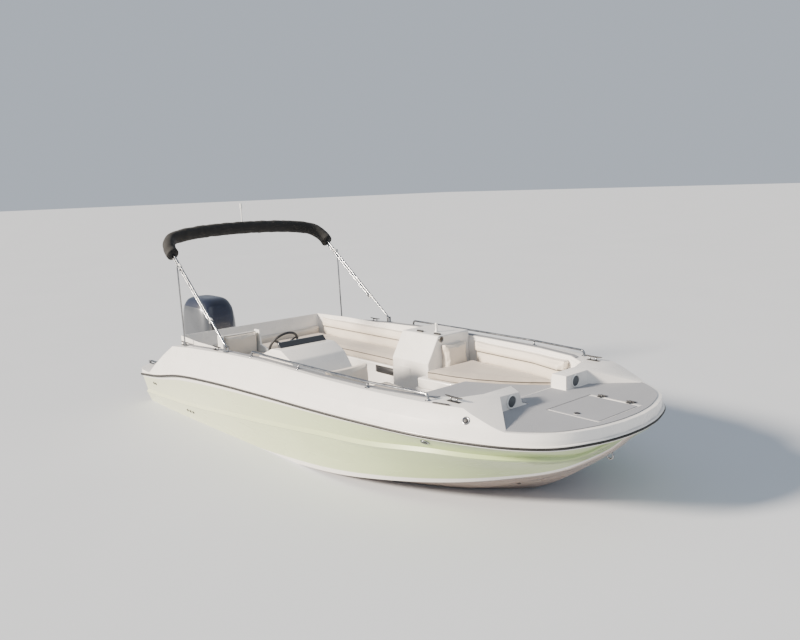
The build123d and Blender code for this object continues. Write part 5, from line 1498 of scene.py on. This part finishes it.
class BOAT_OT_stage(bpy.types.Operator):
    """Floor at the waterline, soft light and the camera"""
    bl_idname = "boat.stage"
    bl_label = "Stage"

    def execute(self, context):
        scene, stage = context.scene, context.scene.boat_stage
        grid = np.stack(np.meshgrid(FLOOR_EDGE, FLOOR_EDGE, [0.0], indexing="ij"), axis=-1)[:, :, 0]
        floor = surface("stage_floor", grid)
        pale = mottled("pale floor", tuple(stage.floor), 0.01, 0.4, 5.0, 0.0, (0.75, 0.85))
        floor.data.materials.append(pale)
        world = bpy.data.worlds.new("soft studio")
        world.use_nodes = True
        sky = world.node_tree.nodes["Background"].inputs
        sky["Color"].default_value, sky["Strength"].default_value = SKY, stage.sky
        scene.world = world
        sun = bpy.data.lights.new("key", "SUN")
        sun.energy, sun.angle, sun.color = stage.key, stage.softness, KEY_COLOUR
        lamp = bpy.data.lights.new("fill", "AREA")
        lamp.energy, lamp.size, lamp.color = stage.fill, FILL_SIZE, FILL_COLOUR
        for light, place in ((sun, KEY_PLACE), (lamp, FILL_PLACE)):
            holder = bpy.data.objects.new(light.name, light)
            holder.matrix_world = looking(np.array(place), LIT_POINT)
            scene.collection.objects.link(holder)
        self.camera(scene, stage)
        return {"FINISHED"}

    def camera(self, scene, stage):
        """The camera at the photograph's place, heading, dip and roll."""
        view = bpy.data.cameras.new("photo view")
        view.lens, view.sensor_width = stage.lens, SENSOR
        camera = bpy.data.objects.new("photo view", view)
        yaw, dip, roll = stage.heading, stage.dip, stage.roll
        ahead = np.array([np.cos(dip) * np.cos(yaw), np.cos(dip) * np.sin(yaw), -np.sin(dip)])
        right = np.array([np.sin(yaw), -np.cos(yaw), 0])
        up = np.cross(right, ahead)
        rolled = np.cos(roll) * right + np.sin(roll) * up
        lifted = np.cos(roll) * up - np.sin(roll) * right
        camera.matrix_world = turned(rolled, lifted, -ahead, np.array(stage.place))
        scene.collection.objects.link(camera)
        scene.camera = camera


def turned(right, up, back, place):
    """A matrix from three directions and a place."""
    matrix = Matrix.Identity(4)
    for k, column in enumerate((right, up, back, place)):
        for row in range(3):
            matrix[row][k] = float(column[row])
    return matrix


def looking(place, target):
    """A matrix at a place whose back points away from a target."""
    back = unit(place - target)
    right = unit(np.cross((0, 0, 1), back))
    return turned(right, np.cross(back, right), back, place)


# Settings, panel and registration

def colour(name, description, default):
    """A colour setting."""
    return FloatVectorProperty(name=name, description=description, default=default, size=3, min=0, max=1,
                               subtype="COLOR")


def number(name, description, default, kind="NONE"):
    """A number setting."""
    return FloatProperty(name=name, description=description, default=default, unit=kind)


class BoatHull(bpy.types.PropertyGroup):
    """Sizes and colours of the hull."""
    # The sides' colours at the bow and the stern hold painted light: the stern's pale is partly painted
    # sunlight, the bow's green partly painted shade.
    topsides: colour("Topsides", "Colour of the hull's sides at the bow", (0.40, 0.50, 0.22))
    quarter: colour("Quarter", "Colour of the hull's sides at the stern", (0.66, 0.69, 0.49))
    bottom: colour("Bottom", "Colour of the hull's bottom", (0.50, 0.40, 0.34))
    laminate: number("Laminate", "Thickness of the hull's wall", 0.008, "LENGTH")


class BoatDeck(bpy.types.PropertyGroup):
    """Sizes and colours of the deck."""
    white: colour("Gelcoat", "Colour of the deck moulding", (0.80, 0.78, 0.75))
    mat: colour("Mat", "Colour of the non-skid mats", (0.29, 0.30, 0.325))
    mat_margin: number("Mat margin", "Bare moulding round the foredeck mat", 0.045, "LENGTH")
    rail_radius: number("Rail radius", "Half the grab rails' thickness", 0.011, "LENGTH")
    mat_pitch: number("Diamond pitch", "Spacing of the mat's diamonds", 0.012, "LENGTH")


class BoatSeats(bpy.types.PropertyGroup):
    """Colours of the cushions."""
    ivory: colour("Ivory", "Colour of the backrests", (0.70, 0.63, 0.54))
    tan: colour("Sand", "Colour of the seats", (0.45, 0.395, 0.335))


class BoatTop(bpy.types.PropertyGroup):
    """Sizes and colours of the canopy frame."""
    canvas: colour("Canvas", "Colour of the boot", (0.005, 0.0048, 0.0046))
    boot_radius: number("Boot radius", "Half the boot's thickness", 0.070, "LENGTH")


class BoatMotor(bpy.types.PropertyGroup):
    """Colours of the motor."""
    navy: colour("Navy", "Colour of the cowl", (0.006, 0.010, 0.028))
    silver: colour("Silver", "Colour of the cowl's side panels", (0.13, 0.14, 0.155))


class BoatStage(bpy.types.PropertyGroup):
    """Floor, light and camera."""
    floor: colour("Floor", "Colour of the floor", (0.56, 0.59, 0.63))
    sky: number("Sky", "Strength of the light from all round", 0.62)
    key: number("Key", "Strength of the warm light from starboard", 12.0)
    softness: number("Softness", "Width of the warm light's disc", 0.16, "ROTATION")
    fill: number("Fill", "Power of the cool light from the bow", 260, "POWER")
    lens: number("Lens", "Focal length for a 36 mm wide sensor", 34.2)
    place: FloatVectorProperty(name="Camera", description="Place of the camera",
                               default=(6.158, -4.901, 2.594), size=3, subtype="TRANSLATION")
    heading: number("Heading", "Camera's heading from the bow direction", 2.42670, "ROTATION")
    dip: number("Dip", "Camera's angle below level", 0.17349, "ROTATION")
    roll: number("Roll", "Camera's roll", -0.03537, "ROTATION")


SETTINGS = {"boat_hull": BoatHull, "boat_deck": BoatDeck, "boat_seats": BoatSeats, "boat_top": BoatTop,
            "boat_motor": BoatMotor, "boat_stage": BoatStage}
OPERATORS = (BOAT_OT_kept, BOAT_OT_hull, BOAT_OT_rub_rail, BOAT_OT_mouldings, BOAT_OT_foredeck,
             BOAT_OT_cushions, BOAT_OT_rails, BOAT_OT_fittings, BOAT_OT_helm, BOAT_OT_top, BOAT_OT_motor,
             BOAT_OT_stage)


class BOAT_PT_panel(bpy.types.Panel):
    """Every step of the boat, in order"""
    bl_idname = "BOAT_PT_panel"
    bl_label = "Deck Boat"
    bl_space_type = "VIEW_3D"
    bl_region_type = "UI"
    bl_category = "Boat"

    def draw(self, context):
        for name, group in SETTINGS.items():
            block = self.layout.box()
            for setting in group.__annotations__:
                block.prop(getattr(context.scene, name), setting)
        for step in OPERATORS:
            self.layout.operator(step.bl_idname)


CLASSES = (*SETTINGS.values(), *OPERATORS, BOAT_PT_panel)


def register():
    """Registers the classes and the settings."""
    for each in CLASSES:
        bpy.utils.register_class(each)
    for name, group in SETTINGS.items():
        setattr(bpy.types.Scene, name, PointerProperty(type=group))


def unregister():
    """Takes the settings and the classes away again."""
    for name in SETTINGS:
        delattr(bpy.types.Scene, name)
    for each in reversed(CLASSES):
        bpy.utils.unregister_class(each)


def main():
    """Builds the boat step by step."""
    register()
    for step in OPERATORS:
        group, name = step.bl_idname.split(".")
        getattr(getattr(bpy.ops, group), name)()


if __name__ == "__main__":
    main()
